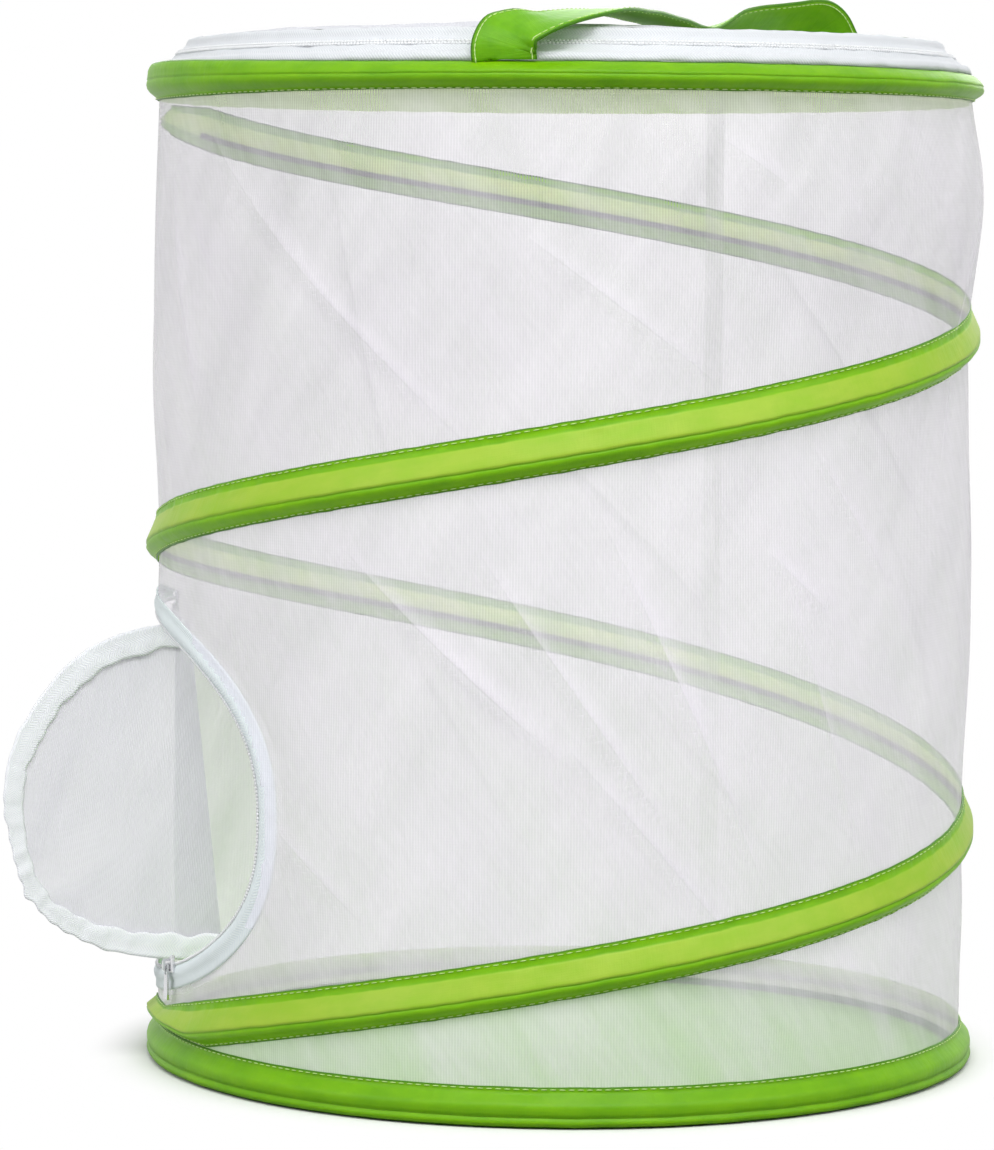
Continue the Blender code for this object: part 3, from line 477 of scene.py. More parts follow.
topProfile = [
    (0.0, -0.9), (0.03, 0.3), (0.09, 1.4), (0.2, 2.8), (0.34, 4.1), (0.42, 4.4), (0.45, 3.95),
    (0.485, 4.4), (0.58, 4.6), (0.68, 4.3), (0.78, 3.3), (0.87, 1.8), (0.93, 0.8), (0.965, 1.0), (1.0, 0.35),
]
bottomProfile = [
    (0.0, 0.35), (0.05, 0.7), (0.1, 0.6), (0.16, 1.0), (0.3, 2.7), (0.42, 4.1), (0.52, 4.45), (0.62, 4.35),
    (0.68, 4.1), (0.715, 3.3), (0.75, 3.9), (0.84, 4.5), (0.93, 3.8), (1.0, 1.6),
]


def standsUp(degrees):
    # the top hoop's tape stands wider at the left
    return max(0, cos(radians(degrees - 196))) ** 6


def topLevels(degrees):
    low, high = 350.6 * mm - 1.4 * mm * standsUp(degrees), 360.1 * mm + 2.6 * mm * standsUp(degrees)
    return low, high + (low - high) * crestShare, high


def bottomLevels(_):
    return 0.2 * mm, 5.0 * mm, 14.0 * mm


topBand = makeBand(
    "topTape", hoop["stations"], hoop["start"], hoop["end"], topLevels, topProfile, "top", hoopTape, tapeInside,
    closed=True, puckers=0.7,
    flare=lambda degrees, share: 3.0 * standsUp(degrees) * max(0, 1 - share / 0.35),
)
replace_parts(topBand, "top_binding")
bottomBand = makeBand(
    "bottomTape", hoop["stations"], hoop["start"], hoop["end"], bottomLevels, bottomProfile, "base",
    hoopTape, tapeInside, closed=True, puckers=0.8,
)
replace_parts(bottomBand, "bottom_binding")
bandStitches("topStitches", hoop["start"], hoop["end"], topLevels, topProfile, "top", (0.955,))
bandStitches("bottomStitches", hoop["start"], hoop["end"], bottomLevels, bottomProfile, "base", (0.055,))


def makeHelixWire():
    bm = bmesh.new()
    bmesh.ops.create_circle(bm, segments=10, radius=wire["radius"])
    stations = round((wire["end"] - wire["start"]) / wire["degreesEach"])
    rings = [bm.verts[:]]
    for _ in range(stations):
        made = bmesh.ops.extrude_edge_only(bm, edges=[e for e in bm.edges if all(v in rings[-1] for v in e.verts)])
        rings.append([v for v in made["geom"] if isinstance(v, bmesh.types.BMVert)])
    for k, ring in enumerate(rings):
        degrees = wire["start"] + (wire["end"] - wire["start"]) * k / stations
        turn = Matrix.Rotation(radians(degrees), 4, "Z") @ Matrix.Rotation(radians(90), 4, "X")
        spot = onCylinder(cage["radius"] + wire["out"], degrees, helixLevels(degrees)[1])
        bmesh.ops.transform(bm, verts=ring, matrix=Matrix.Translation(spot) @ turn)
    bmesh.ops.holes_fill(bm, edges=[e for e in bm.edges if e.is_boundary], sides=12)
    bmesh.ops.recalc_face_normals(bm, faces=bm.faces[:])
    return addPiece("helixSpring", bm, springSteel, "base", "spring_wire")


def recolour(nodes, material):
    for node in nodes:
        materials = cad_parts[node].data.materials
        materials.clear()
        materials.append(material)


helixWire = makeHelixWire()
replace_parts(helixWire, "helix_wire")
recolour(("top_hoop_wire", "bottom_hoop_wire"), springSteel)
print("hoops, helix and their tapes made")


# --- the door's outline on the wall

door = {"edge": 168.0, "depth": 147.0, "half": 65.5, "centre": 98.0, "round": 2.5}  # mm


def halfAt(arc):
    share = min(max(arc / door["depth"], 0), 1)
    return door["half"] * (1 - share ** door["round"]) ** (1 / door["round"])


def doorOutline(turn, offset=0.0):
    # turn from -1 at the lower end to 1 at the upper end; gives arc and height in millimetres
    def at(value):
        angle = value * pi / 2
        power = 2 / door["round"]
        up = copysign(abs(sin(angle)) ** power, angle) * door["half"]
        return Vector((door["depth"] * max(cos(angle), 0) ** power, door["centre"] + up))
    way = (at(min(turn + 0.001, 1)) - at(max(turn - 0.001, -1))).normalized()
    return at(turn) + offset * Vector((way.y, -way.x))


def evenTurns(count, first=-1.0, last=1.0):
    # turns spaced evenly along the outline, and the outline's length
    samples = 600
    fine = [first + (last - first) * k / samples for k in range(samples + 1)]
    spots = [doorOutline(turn) for turn in fine]
    run = [0.0]
    for a, b in zip(spots, spots[1:]):
        run.append(run[-1] + (b - a).length)
    turns, k = [], 0
    for n in range(count + 1):
        goal = run[-1] * n / count
        while k < samples - 1 and run[k + 1] < goal:
            k += 1
        part = (goal - run[k]) / max(run[k + 1] - run[k], 1e-9)
        turns.append(fine[k] + (fine[k + 1] - fine[k]) * part)
    return turns, run[-1]


def onWall(arc, height, lift):
    degrees = door["edge"] + math.degrees(arc * mm / cage["radius"])
    return onCylinder(cage["radius"] + lift * mm, degrees, height * mm)


# --- the net wall

wall = {"seam": 66.0, "along": 440, "across": 165, "bulge": 2.4, "crease": 0.8}
# long creases in the net: arc and height of both ends, depth and width, all in millimetres
creases = [
    (553, 337, 664, 233, 0.9, 2.2), (685, 302, 750, 253, 0.9, 2.2), (751, 335, 776, 319, 0.8, 2.0),
    (619, 196, 697, 126, 1.0, 2.4), (670, 195, 734, 102, 1.1, 2.6), (710, 210, 772, 76, 1.0, 3.2),
    (592, 97, 627, 68, 0.9, 3.0), (787, 232, 823, 183, 0.9, 2.6), (769, 196, 794, 174, 0.9, 2.0),
    (777, 185, 812, 86, 0.8, 5.0), (700, 130, 765, 55, 0.8, 2.2), (520, 330, 545, 240, 0.7, 4.0),
    (150, 300, 60, 190, 0.9, 3.0), (260, 240, 170, 150, 0.9, 3.0), (330, 320, 300, 200, 0.8, 4.0),
    (90, 200, 30, 90, 0.8, 3.0), (900, 320, 860, 220, 0.8, 4.0), (200, 120, 130, 40, 0.8, 3.0),
    (300, 150, 250, 60, 0.8, 3.0), (20, 300, 60, 230, 0.8, 3.0),
]


def creaseAt(a, b):
    # each crease is a narrow ridge that fades at both ends
    # gives the total height, the strongest one's distance to the side in millimetres, and its strength
    total, side, strength = 0.0, 15.0, 0.0
    for x1, y1, x2, y2, depth, width in creases:
        wayX, wayY = x2 - x1, y2 - y1
        size = wayX * wayX + wayY * wayY
        t = ((a - x1) * wayX + (b - y1) * wayY) / size
        if 0 < t < 1:
            aside = (wayX * (b - y1) - wayY * (a - x1)) / math.sqrt(size)
            fade = depth * sin(pi * t) ** 0.6
            total += fade * exp(-((aside / (width + 1)) ** 2))
            near = fade * max(1 - (aside / 10 if aside > 0 else -aside / 4), 0)
            if near > strength:
                side, strength = aside, near
    return total, side, strength


def wallRadius(degrees, height):
    # the net bulges a little between the wires, with slanting creases
    wires = [8 * mm]
    for lap in (0, 360):
        turn = (degrees - 180) % 360 + 180 + lap
        if helix["start"] <= turn <= helix["end"]:
            wires.append(helixCentre(turn) - helix["wireBelow"])
    wires.append(355 * mm)
    wires.sort()
    sag = 0.0
    for low, high in zip(wires, wires[1:]):
        if low < height < high:
            sag = sin(pi * (height - low) / (high - low)) ** 0.7 * min((high - low) / (60 * mm), 1)
    a = radians(degrees % 360) * cage["radius"] / mm
    b = height / mm
    slant = soft((a * 0.8 + b * 0.6) / 26, (b * 0.8 - a * 0.6) / 150, 2.0)
    fine = soft(a / 38, b / 60, 7.0)
    # it stands out most high up on the right
    right = max(0, cos(radians(degrees + 5))) ** 4 * min(max((b - 240) / 90, 0), 1) * 3
    low = -1.6 * max(0, cos(radians(degrees))) ** 2 * min(max((130 - b) / 60, 0), 1)
    folds = wall["crease"] * (slant + 0.5 * fine) + creaseAt(a, b)[0]
    return cage["radius"] - 0.1 * mm + sag**2 * (wall["bulge"] + right + low + folds) * mm


def wallSpot(t, s):
    degrees = wall["seam"] + 360 * t
    height = cage["wallLow"] + (cage["wallHigh"] - cage["wallLow"]) * s
    return onCylinder(wallRadius(degrees, height), degrees, height)


def wallFlat(t, s):
    return (2 * pi * cage["radius"] * t, (cage["wallHigh"] - cage["wallLow"]) * s)


bm = clothGrid(wall["along"], wall["across"], wallSpot, wallFlat, closed=True)
holeMargin = 3.5  # mm, from the door's outline to the net, under the tape
hole = [doorOutline(turn, holeMargin) for turn in evenTurns(160)[0]]
hole = [Vector((max(p.x, -0.5), p.y)) for p in hole]
hole = [Vector((-0.5, hole[0].y))] + hole + [Vector((-0.5, hole[-1].y))]


def wallToDoor(spot):
    degrees = math.degrees(math.atan2(spot.y, spot.x)) % 360
    return Vector((radians(degrees - door["edge"]) * cage["radius"] / mm, spot.z / mm))


def nearDoor(p, margin):
    return -margin < p.x < 160 and 20 < p.y < 180


def nearestOnHole(p):
    best = None
    for a, b in zip(hole, hole[1:] + hole[:1]):
        way = b - a
        near = a + way * min(max((p - a).dot(way) / max(way.length_squared, 1e-9), 0), 1)
        if best is None or (near - p).length < (best - p).length:
            best = near
    return best


def insideHole(p):
    inside = False
    for a, b in zip(hole, hole[1:] + hole[:1]):
        if (a.y > p.y) != (b.y > p.y) and p.x < (b.x - a.x) * (p.y - a.y) / (b.y - a.y) + a.x:
            inside = not inside
    return inside


centres = [(face, wallToDoor(face.calc_center_median())) for face in bm.faces]
gone = [face for face, centre in centres if nearDoor(centre, 5) and insideHole(centre)]
bmesh.ops.delete(bm, geom=gone, context="FACES")
for vert in bm.verts:
    p = wallToDoor(vert.co)
    if vert.is_boundary and nearDoor(p, 8):
        near = nearestOnHole(p)
        vert.co = onWall(near.x, near.y, -0.1)
cageNet = addPiece("cageNet", bm, wallNet, "base", "mesh")
# where the net is gathered or creased, at each vertex, read by its material
gathered, creaseSide, creaseDepth = (
    cageNet.data.attributes.new(name, "FLOAT", "POINT").data for name in ("gathered", "creaseSide", "creaseDepth")
)
for vert in cageNet.data.vertices:
    run = radians(math.degrees(math.atan2(vert.co.y, vert.co.x)) % 360) * cage["radius"] / mm
    _, creaseSide[vert.index].value, creaseDepth[vert.index].value = creaseAt(run, vert.co.z / mm)
    byDoor = exp(-(((run - 385) / 42) ** 4) - ((vert.co.z / mm - door["centre"]) / 72) ** 4)
    high = vert.co.z / (356 * mm)
    # pulled thin high at the front and back
    stretched = abs(vert.co.y / vert.co.xy.length) ** 3 * max(high, 0) ** 1.5
    gathered[vert.index].value = 0.55 * byDoor + 0.14 - 0.3 * high - 0.45 * stretched
cageNet.visible_shadow = False  # white threads pass on most of the light that falls on them
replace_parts(cageNet, "wall_mesh")
print("net wall made")


def topFoldSpot(t, s):
    # the top binding is folded over to the inside and hides the hoop's wire
    ring = onCylinder(14, 360 * t, 0)
    ripple = soft(ring.x * 1.2, ring.y * 1.2, s + 7)
    return onCylinder((147.1 + 0.15 * ripple) * mm, 360 * t, (349.3 + 10.8 * s + 0.4 * ripple * (1 - s)) * mm)


topFold = addCloth(
    "topTapeInside", (240, 4), topFoldSpot, lambda t, s: (0.93 * t, 10.8 * mm * s), topInside, "top", "green_tape",
    closed=True,
)
thicken(topFold, thick["cloth"], 0.0)

seamTape = addCloth(
    "seamTape", (4, 60),
    lambda t, s: onCylinder(146.9 * mm, 64.5 + 3 * t, cage["wallLow"] + 356 * mm * s),
    lambda t, s: (8 * mm * t, 356 * mm * s), seamNet, "base", "white_tape",
)
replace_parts(seamTape, "wall_seam_tape")


# --- floor

floorRadius = 147.6 * mm
piping = {"radius": 149.3, "height": 1.55, "size": 1.45}  # mm


def floorSpot(t, s):
    degrees = 360 * t
    ring = onCylinder(s * 8, degrees, 0)
    lift = 0.75 + 0.55 * soft(ring.x, ring.y, 1.5) * s * (1 - s) * 4 + 0.15 * soft(ring.x * 3, ring.y * 3, 5)
    return onCylinder(floorRadius * s, degrees, max(lift, 0.35) * mm)


def floorFlat(t, s):
    spot = onCylinder(floorRadius * s, 360 * t, 0)
    return (spot.x + 0.15, spot.y + 0.15)


floor = addCloth("floorCloth", (120, 40), floorSpot, floorFlat, floorCloth, "base", "floor_cloth", closed=True)
thicken(floor, thick["cloth"], 0.0)
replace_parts(floor, "floor_panel")


def pipingSpot(t, s):
    lap = onCylinder(14, 360 * t, 0)
    turn = 2 * pi * s
    size = piping["size"] + 0.1 * soft(lap.x * 2, lap.y * 2)
    radius = piping["radius"] + size * 1.25 * cos(turn)
    return onCylinder(radius * mm, 360 * t, (piping["height"] + size * sin(turn)) * mm)


edging = addCloth(
    "floorPiping", (360, 10), pipingSpot, lambda t, s: (0.93 * t, 9 * mm * s), pipingTape, "base", "green_tape",
    closed=True,
)
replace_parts(edging, "floor_piping")
print("floor made")


# --- door: tape and coil round the opening

def stripOnDoor(name, path, start, stop, liftAt, place, material, body, rows=6, ruffle=None):
    # a strip along the door's outline, from start to stop millimetres outside it
    # ruffle gives how far it stands off further, and how far it is moved outwards
    turns, length = path

    def spot(t, s):
        off, out = ruffle(t, s) if ruffle else (0, 0)
        p = doorOutline(turns[round(t * (len(turns) - 1))], start + (stop - start) * s + out)
        return place(max(p.x, 0), p.y, liftAt(t, s) + off)

    def flat(t, s):
        return (length * mm * t, abs(stop - start) * mm * s)

    return addCloth(name, (len(turns) - 1, rows), spot, flat, material, body, "white_tape")


tapeWidens = 2.6  # mm, away from the ends


def doorTapeLift(t, s):
    unevenness = 0.3 * soft(t * 16, s * 1.5, 3) + 0.12 * soft(t * 60, s * 2)
    return 1.15 + 0.7 * sin(pi * min(s * 1.6, 1)) + unevenness


def doorTapeWidth(t, s):
    return 0, s * (tapeWidens * sin(pi * t) - 3.5 * max(0, 1 - 16 * min(t, 1 - t)))


def doorHemWidth(t, s):
    ends = 3.0 * max(0, 1 - 12 * min(t, 1 - t))
    return 0, tapeWidens * sin(pi * t) + s * (0.5 * soft(t * 24, 4.0) - ends)


doorTape = stripOnDoor(
    "doorTape", evenTurns(150), 1.6, 7.8, doorTapeLift, onWall, doorZipperTape, "base", 8, doorTapeWidth,
)
thicken(doorTape, thick["binding"])
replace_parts(doorTape, "door_tape_wall")
# turned-under edge of the net along the tape
doorHem = stripOnDoor(
    "doorHem", evenTurns(140, -0.94, 0.94), 7.2, 10.4, lambda t, s: 0.3 + 0.25 * soft(t * 30, s), onWall, seamNet,
    "base", 4, doorHemWidth,
)


def addCoil(name, length, at, size, body):
    # length in millimetres; at(share) gives a place along the coil
    bm = bmesh.new()
    count = int(length / coilPitch)
    addBeads(bm, count, lambda k: at((k + 0.5) / count), size)
    return addPiece(name, bm, coilPlastic, body, "zipper_coil")


def doorCoilPlace(offset, lift, place, first=-1.0, last=1.0, trimAt=None):
    samples = 400
    turns, length = evenTurns(samples, first, last)

    def at(share):
        k = min(int(share * samples), samples - 1)
        turn = turns[k] + (turns[k + 1] - turns[k]) * (share * samples - k)
        trim = offset + (trimAt(turn) if trimAt else 0)
        p, q = doorOutline(turn, trim), doorOutline(min(turn + 0.004, 1), trim)
        spot = place(max(p.x, 0), p.y, lift)
        way = place(max(q.x, 0), q.y, lift) - spot
        if way.length < 1e-7:
            way = Vector((0, 0, 1))
        out = place(max(p.x, 0), p.y, lift + 1) - spot
        return spot, way, out - out.project(way)

    return at, length


coilAt, length = doorCoilPlace(0.9, 0.8, onWall)
doorCoil = addCoil("doorCoil", length, coilAt, (1.8 * mm, 1.5 * mm, 1.4 * mm), "base")
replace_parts(doorCoil, "door_coil_wall")

edge = {"start": -4.6, "width": 4.3, "low": 28.0, "height": 139}  # mm


def edgeSpot(t, s):
    lift = 0.45 + 0.25 * sin(pi * t) + 0.12 * soft(t, s * 30)
    return onWall(edge["start"] + edge["width"] * t, edge["low"] + edge["height"] * s, lift)


edgeTape = addCloth(
    "doorEdgeTape", (6, 60), edgeSpot, lambda t, s: (edge["width"] * mm * t, edge["height"] * mm * s),
    zipperTape, "base", "white_tape",
)
thicken(edgeTape, thick["binding"])
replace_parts(edgeTape, "door_edge_tape")


# --- door flap, folded open

# the crease's arc and the flap's turn at the door's lower and upper end, in millimetres and degrees
fold = {"low": 68.0, "high": 58.0, "open": 107.0, "turnLow": 19.0, "turnHigh": 10.0, "middle": 63}


def heightShare(height):
    return (height - door["centre"] + door["half"]) / (2 * door["half"])


def foldArc(height):
    return fold["low"] + (fold["high"] - fold["low"]) * heightShare(height)


def flapTurn(height):
    return radians(fold["turnLow"] + (fold["turnHigh"] - fold["turnLow"]) * heightShare(height))


def onInnerFlap(arc, height, lift):
    seam = onWall(0, height, 0)
    return seam + Matrix.Rotation(flapTurn(height), 3, "Z") @ (onWall(arc, height, lift) - seam)


def outerFlapMatrix():
    low, high = door["centre"] - halfAt(fold["low"]), door["centre"] + halfAt(fold["high"])
    closed = [onWall(foldArc(z), z, 0) for z in (low, high)]
    resting = [onInnerFlap(foldArc(z), z, 0) for z in (low, high)]
    middle = (resting[0] + resting[1]) / 2
    turn = Matrix.Rotation(flapTurn(middle.z / mm), 4, "Z")
    closedWay = (turn.to_3x3() @ (closed[1] - closed[0])).normalized()
    restingWay = (resting[1] - resting[0]).normalized()
    tilt = closedWay.rotation_difference(restingWay).to_matrix().to_4x4()
    bend = Matrix.Rotation(-radians(fold["open"]), 4, restingWay)
    return Matrix.Translation(middle) @ bend @ tilt @ turn @ Matrix.Translation(-(closed[0] + closed[1]) / 2)


outerMatrix = outerFlapMatrix()


def onOuterFlap(arc, height, lift):
    return outerMatrix @ onWall(arc, height, lift)


def innerSpot(t, s):
    up = 2 * s - 1
    guess = door["centre"] + up * (halfAt(t * fold["middle"]) - 1)
    arc = t * foldArc(guess) + 0.4 * (1 - t)
    billow = 0.5 * soft(arc / 16, guess / 24, 2) * sin(pi * s)
    return onInnerFlap(arc, guess, -0.2 + billow)


def flapTrim(turn):
    # the gathered tape draws the flap in at its far side and lets it out near the top, in millimetres
    return -5.0 * exp(-((turn / 0.38) ** 2)) + 6.0 * exp(-(((turn - 0.62) / 0.17) ** 2)) - 0.8


def outerSpot(t, s):
    up = 2 * s - 1
    reach, depth = sin(t * pi / 2), door["depth"] * 0.998
    height = door["centre"] + up * halfAt(fold["middle"] + reach * (depth - fold["middle"]))
    arc = foldArc(height) + reach * (depth - foldArc(height))
    across, high = arc / door["depth"], (height - door["centre"]) / door["half"]
    level = (across ** door["round"] + abs(high) ** door["round"]) ** (1 / door["round"])
    turn = copysign(acos(min(across / level, 1) ** (door["round"] / 2)) / (pi / 2), high)
    push = (flapTrim(turn) - 2.0) * level**4 * min(reach * 3, 1)
    way = doorOutline(turn, 1) - doorOutline(turn)
    billow = 1.3 * soft(arc / 20, height / 26, 6) * sin(pi * s) * sin(pi * t)
    return onOuterFlap(arc + way.x * push, height + way.y * push, -0.2 + billow)


def outerFlat(t, s):
    return ((63 + 83 * sin(t * pi / 2)) * mm, 128 * mm * s)


innerNet = addCloth(
    "flapInnerNet", (24, 44), innerSpot, lambda t, s: (63 * mm * t, 128 * mm * s), flapNet, "door_inner", "mesh",
)
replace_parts(innerNet, "door_panel_inner")
outerNet = addCloth("flapOuterNet", (36, 44), outerSpot, outerFlat, flapNet, "door_outer", "mesh", closed=True)
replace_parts(outerNet, "door_panel_outer")


def turnAt(arc):
    share = min(max(arc / door["depth"], 0), 1)
    return acos(share ** (door["round"] / 2)) / (pi / 2)


def ruffled(t, s):
    # gathers: the tape is longer than the edge it is sewn to; the outer edge bulges most at the far side
    wave = soft(t * 26, 3.0) + 0.5 * soft(t * 60, 8.0)
    far = exp(-((t - 0.38) / 0.2) ** 2)
    outer = (0.4 + 2.0 * far) * soft(t * 34, 12.0) * (1 - s)
    inner = (1.5 * soft(t * 30, 17.0) + 3.0 * far - 1.5) * s
    trim = flapTrim(outerTurns[round(t * (len(outerTurns) - 1))])
    return 0.8 * wave * (0.3 + sin(pi * s)), outer + inner + trim


foldGap = 1.5  # mm, that the tapes keep from the crease
outerTurns, outerRun = evenTurns(170, -turnAt(fold["low"] + foldGap), turnAt(fold["high"] + foldGap))
outerTape = stripOnDoor(
    "flapOuterTape", (outerTurns, outerRun), 0.0, -8.0,
    lambda t, s: -1.1 - 0.2 * sin(pi * min((1 - s) * 1.6, 1)),
    onOuterFlap, zipperTape, "door_outer", 8, ruffled,
)
thicken(outerTape, thick["zipper"], 0.0)
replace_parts(outerTape, "door_tape_outer")
coilAt, length = doorCoilPlace(-2.2, 1.0, onOuterFlap, outerTurns[0], outerTurns[-1], flapTrim)
outerCoil = addCoil("flapCoil", length, coilAt, (1.8 * mm, 1.4 * mm, 1.0 * mm), "door_outer")
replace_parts(outerCoil, "door_coil_flap")

innerTapes = []
for end, first, last in (
    ("Low", -1.0, -turnAt(fold["low"] - foldGap)), ("High", turnAt(fold["high"] - foldGap), 1.0),
):
    piece = stripOnDoor(
        "flapInnerTape" + end, evenTurns(48, first, last), -0.6, -6.5,
        lambda t, s: 0.45 + 0.3 * sin(pi * s) + 0.25 * soft(t * 12, s * 2, 4),
        onInnerFlap, zipperTape, "door_inner",
    )
    thicken(piece, thick["zipper"], 0.0)
    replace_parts(piece, "door_tape_inner_" + end.lower())
    innerTapes.append(piece)
print("door made")


# --- lid

lid = {"outer": 147.2, "run": 11.8, "base": 360.9, "rise": 10.8, "slope": 16, "crown": 3.9, "power": 4}  # mm
hinge = {"direction": 156.0, "distance": 126.0, "gap": 0.5, "corner": 21.6, "half": 27}  # degrees and mm
zipArc = {"start": 183.0, "end": 489.0, "radius": 141}
lidRadius = 135.1


def slopePoint(share, lift):
    length = hypot(lid["run"], lid["rise"])
    radius = lid["outer"] - share * lid["run"] + lift * lid["rise"] / length
    return radius, lid["base"] + share * lid["rise"] + lift * lid["run"] / length


def lidSag(degrees):
    # the lid hangs lower at the back right, in millimetres
    return 4.0 * exp(-((((degrees - 48) % 360 + 180) % 360 - 180) / 30) ** 2)


def onSlope(share, lift, degrees):
    radius, height = slopePoint(share, lift)
    height -= lidSag(degrees) * min(max(share, 0), 1)
    return onCylinder(radius * mm, degrees, height * mm)


def lidHeight(radius):
    return lid["base"] + lid["rise"] + lid["crown"] * (1 - min(radius / lidRadius, 1) ** lid["power"])


def hingeReach(degrees, distance):
    ahead = cos(radians(degrees - hinge["direction"]))
    return distance / ahead if ahead > 0 else 1e9


def lidSpot(t, s):
    degrees = 360 * t
    reach = min(lidRadius, hingeReach(degrees, hinge["distance"]))
    radius = reach * s
    p = onCylinder(radius, degrees, 0)
    rim = min((reach - radius) / 12, 1)
    wrinkle = 0.9 * soft(p.x / 34, p.y / 22, 3) + 0.35 * soft(p.x / 9, p.y / 12, 6)
    pull = 0.35 * soft(degrees / 5, 1.0) * (1 - rim) if radius > 100 else 0
    # the lid is slacker at the right
    sink = 3.0 * min(max((p.x - 10) / 70, 0), 1) * (1 - (radius / reach) ** 8)
    height = lidHeight(radius) - sink + wrinkle * rim + pull - lidSag(degrees) * (radius / reach) ** 4
    return onCylinder(radius * mm, degrees, height * mm)


def lidFlat(t, s):
    p = onCylinder(lidRadius * s, 360 * t, 0)
    return ((p.x + 140) * mm, (p.y + 140) * mm)


lidPanel = addCloth("lidPanel", (240, 60), lidSpot, lidFlat, lidNet, "lid", "lid_cloth", closed=True)
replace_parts(lidPanel, "lid_panel")


def slopeStrip(name, first, last, shares, lift, body, node):
    # a half of the lid's zipper tape, between two shares up the slope from the rim to the lid
    def spot(t, s):
        degrees = first + (last - first) * t
        ring = onCylinder(14, degrees, 0)
        ripple = 0.55 * soft(ring.x * 1.1, ring.y * 1.1, s * 2) + 0.25 * soft(ring.x * 4, ring.y * 4, s)
        outerShare = shares[0]
        if body == "lid":  # it is cut off along the hinge
            outerShare = max(outerShare, (lid["outer"] - hingeReach(degrees, hinge["distance"])) / lid["run"])
        share = outerShare + (shares[1] - outerShare) * s
        return onSlope(share, lift(s) + ripple, degrees)

    def flat(t, s):
        run = radians((last - first) * t) * zipArc["radius"] * mm
        return (run, (shares[1] - shares[0]) * lid["slope"] * mm * s)

    closed = last - first == 360
    tape = addCloth(name, (round(last - first), 8), spot, flat, lidZipperTape, body, "white_tape", closed=closed)
    thicken(tape, thick["zipper"], 0.0)
    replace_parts(tape, node)


slopeStrip(
    "rimTape", 0, 360, (-0.05, 0.50), lambda s: -0.2 + 1.3 * sin(pi * min(s * 2, 1)) * (s < 0.5),
    "top", "lid_tape_rim",
)
slopeStrip(
    "lidTape", hinge["direction"] + hinge["corner"], hinge["direction"] + 360 - hinge["corner"], (0.515, 1.0),
    lambda s: -0.2 + 1.0 * sin(pi * min((1 - s) * 2, 1)) * (s > 0.5), "lid", "lid_tape_lid",
)


def slopeCoil(name, share, first, last, body, node):
    def at(place):
        degrees = first + (last - first) * place
        spot = onSlope(share, 0.15, degrees)
        out = onSlope(share, 1.15, degrees) - spot
        return spot, onCylinder(1, degrees + 90, 0), out

    length = radians(last - first) * zipArc["radius"]
    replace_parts(addCoil(name, length, at, (1.8 * mm, 1.4 * mm, 1.3 * mm), body), node)


slopeCoil("rimCoil", 0.47, zipArc["start"], zipArc["end"], "top", "lid_coil_rim")
slopeCoil("lidCoil", 0.545, zipArc["start"] + 0.3, zipArc["end"] - 6, "lid", "lid_coil_lid")


def stripSpot(t, s):
    degrees = hinge["direction"] + hinge["half"] * (2 * t - 1)
    outer, rise = slopePoint(0.43, 0)
    inner = hingeReach(degrees, hinge["distance"] + hinge["gap"])
    innerHeight = lidHeight(inner)
    if inner > lidRadius:
        innerHeight = slopePoint((lid["outer"] - inner) / lid["run"], 0)[1]
    radius = inner + (outer - inner) * s
    height = innerHeight + (rise - innerHeight) * s + 0.3 * soft(t * 9, s * 2)
    return onCylinder(radius * mm, degrees, height * mm)


hingeStrip = addCloth(
    "hingeStrip", (40, 6), stripSpot, lambda t, s: (0.12 * t, 15 * mm * s), lidNet, "top", "lid_cloth",
)
thicken(hingeStrip, thick["zipper"], 0.0)
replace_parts(hingeStrip, "lid_hinge_strip")
print("lid made")


# --- carry strap

strap = {  # millimetres, and degrees for its two roots
    "width": 22.0, "thickness": 1.1, "front": 262.2, "back": 43.0, "root": 149.1, "base": 360.3,
    "reach": 148, "rise": 30, "sewn": 5.1,
}
strapRoute = [  # x and y in shares of the reach, z in shares of the rise above the base
    (-0.108, -0.980, 0.36), (-0.012, -0.930, 0.49), (0.080, -0.780, 0.600), (0.150, -0.470, 0.640),
    (0.225, -0.130, 0.630), (0.310, 0.160, 0.590), (0.420, 0.360, 0.640), (0.535, 0.490, 0.740),
    (0.622, 0.570, 0.790), (0.668, 0.610, 0.700), (0.700, 0.650, 0.440),
]


def smoothPath(points, steps):
    path = []
    for k in range(len(points) - 1):
        a, b = points[k], points[k + 1]
        before, after = points[max(k - 1, 0)], points[min(k + 2, len(points) - 1)]
        path += [hermite(a, b, (b - before) / 2, (after - a) / 2, n / steps) for n in range(steps)]
    return path + [points[-1].copy()]


frontWay, backWay = onCylinder(1, strap["front"] + 90, 0), onCylinder(1, strap["back"] - 90, 0)
points = [onCylinder(strap["root"], strap["front"], strap["base"] + up) for up in (0.0, strap["sewn"])]
points += [
    Vector((x * strap["reach"], y * strap["reach"], strap["base"] + z * strap["rise"])) for x, y, z in strapRoute
]
points += [onCylinder(strap["root"], strap["back"], strap["base"] + up) for up in (strap["sewn"], 0.0)]
flatWay, leaningWay = Vector((0.93, -0.36, 0)).normalized(), Vector((0.72, -0.30, 0.62)).normalized()
ways = [frontWay] * 4 + [flatWay] * 4 + [leaningWay] * 5 + [backWay] * 2
strapPath = smoothPath(points, 8)
strapWays = smoothPath(ways, 8)


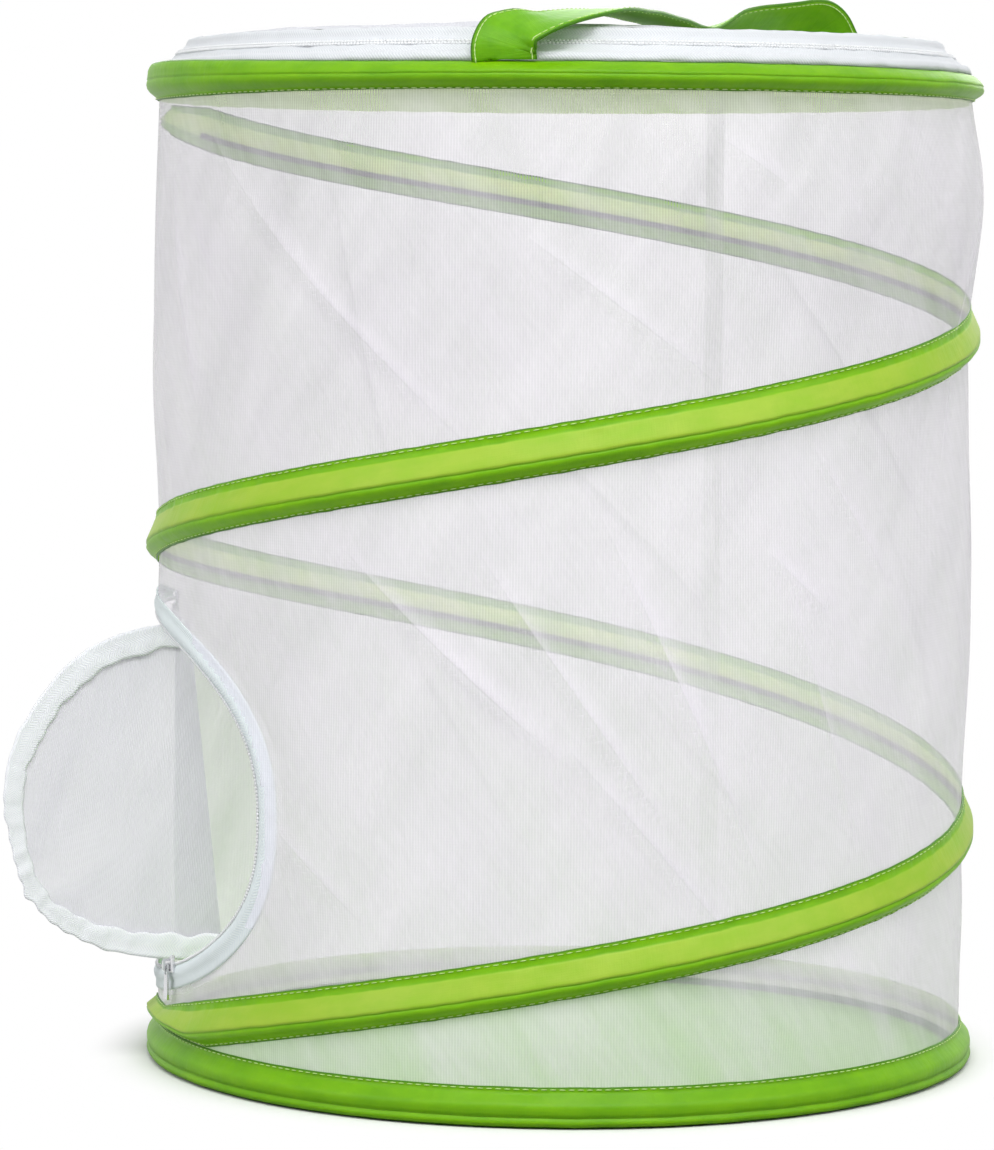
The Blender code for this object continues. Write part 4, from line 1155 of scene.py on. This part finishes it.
def strapSpot(t, s, lift=0.0):
    k = round(t * (len(strapPath) - 1))
    along = (strapPath[min(k + 1, len(strapPath) - 1)] - strapPath[max(k - 1, 0)]).normalized()
    if k in (0, len(strapPath) - 1):
        along = Vector((0, 0, copysign(1, along.z)))
    way = strapWays[k]
    across = (way - way.dot(along) * along).normalized()
    out = across.cross(along).normalized()
    side = (s - 0.5) * strap["width"]
    wave = 0.25 * soft(t * 26, s * 3, 2) + 0.5 * soft(t * 7, s, 5) * sin(pi * t)
    return (strapPath[k] + across * side + out * (wave + lift)) * mm


carryStrap = addCloth(
    "carryStrap", (len(strapPath) - 1, 12), strapSpot, lambda t, s: (0.33 * t, strap["width"] * mm * s),
    strapTape, "top", "green_tape",
)
thicken(carryStrap, strap["thickness"] * mm, 0.0)
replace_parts(carryStrap, "carry_strap")
strapLength = sum((b - a).length for a, b in zip(strapPath, strapPath[1:])) * mm


def strapStitchPlace(run, side, face):
    last = len(strapPath) - 1
    fine = min(run / strapLength, 1.0) * last
    k, part = min(int(fine), last - 1), fine - int(fine)
    ends = [strapSpot(n / last, side, face) for n in (k, k + 1)]
    return ends[0].lerp(ends[1], part), ends[1] - ends[0], ends[0] - strapSpot(k / last, side, 0)


bm = bmesh.new()
for side in (0.065, 0.935):
    for face in (-0.7, 0.7):
        stitchLine(
            bm, strapLength * 0.99, lambda run: strapStitchPlace(run, side, face), (2.3 * mm, 0.45 * mm, 0.4 * mm),
        )
addPiece("strapStitches", bm, greenThread, "top", "green_tape")
print("strap made, length", round(strapLength, 4))


# --- sliders and pull tabs keep their solids

recolour(("door_slider", "door_pull_tab", "lid_slider", "lid_pull_tab"), nickel)


# --- the soft pieces' modifiers are applied, and each gets a mesh of its own

squashAll([cageNet, seamTape, helixBand, helixStitches, helixWire])
squashAll(
    [doorTape, doorHem, doorCoil, edgeTape, innerNet, outerNet, outerTape, outerCoil, *innerTapes],
)


# --- stage: pale floor, soft light

bpy.ops.mesh.primitive_plane_add(size=30, location=(0, 0, 0))
ground = bpy.context.object
ground.name = "ground"


def seenBy(tree, *rays):
    # 1 for these kinds of rays, and 0 for the rest
    hits = [addNode(tree, "LightPath", out=f"Is {ray} Ray") for ray in rays]
    seen = hits[0]
    for hit in hits[1:]:
        seen = addNode(tree, "Math", {0: seen, 1: hit}, operation="MAXIMUM")
    return seen


paper, tree, shader = newMaterial("white paper backdrop", 0.9)
ground.data.materials.append(paper)
# the paper runs out to plain white for the camera and in reflections, and keeps the shadow near the cage
fade = {"start": 0.15, "end": 0.176}  # metres from the cage's axis
coords = addNode(tree, "TexCoord", out="Object")
distance = addNode(tree, "VectorMath", {0: coords}, out="Value", operation="LENGTH")
# light that the paper throws back up is weaker, as on a small sheet, so that folds keep their dark undersides
sight = seenBy(tree, "Camera", "Transmission")
colour = addNode(tree, "Mix", {0: sight, 6: linear("#AEAEAE"), 7: linear("#FFFFFF")}, out=2, data_type="RGBA")
feed(tree, shader, Base_Color=colour)
far = addNode(tree, "MapRange", {0: distance, 1: fade["start"], 2: fade["end"]}, interpolation_type="SMOOTHSTEP")
share = addNode(tree, "Math", {0: seenBy(tree, "Camera", "Glossy"), 1: far}, operation="MULTIPLY")
white = addNode(tree, "Emission")
blended = addNode(tree, "MixShader", {0: share, 1: shader.outputs[0], 2: white})
feed(tree, tree.nodes["Material Output"], Surface=blended)

world = bpy.data.worlds.new("studio")
bpy.context.scene.world = world
world.use_nodes = True
tree = world.node_tree
background = tree.nodes["Background"]
# the room is dimmer as a light than it looks
strength = addNode(tree, "MapRange", {0: seenBy(tree, "Camera", "Glossy", "Transmission"), 3: 0.33, 4: 1.0})
feed(tree, background, Strength=strength)
background.inputs["Color"].default_value = (1, 1, 1, 1)


def softbox(name, place, size, power):
    light = bpy.data.lights.new(name, "AREA")
    light.shape = "RECTANGLE"
    light.size, light.size_y = size
    light.energy = power
    lamp = bpy.data.objects.new(name, light)
    bpy.context.collection.objects.link(lamp)
    way = Vector((0, 0, 0.2)) - Vector(place)
    lamp.matrix_world = Matrix.Translation(place) @ way.to_track_quat("-Z", "Y").to_matrix().to_4x4()


softbox("front", (0.1, -1.35, 1.9), (1.8, 0.9), 30)
softbox("left", (-1.75, -1.1, 1.3), (1.0, 1.2), 12)
softbox("right", (1.75, -1.1, 1.3), (1.0, 1.2), 11)
softbox("behind", (0.2, 1.9, 1.0), (1.8, 1.0), 14)
bpy.context.scene.view_settings.view_transform = "Standard"
print("stage made")
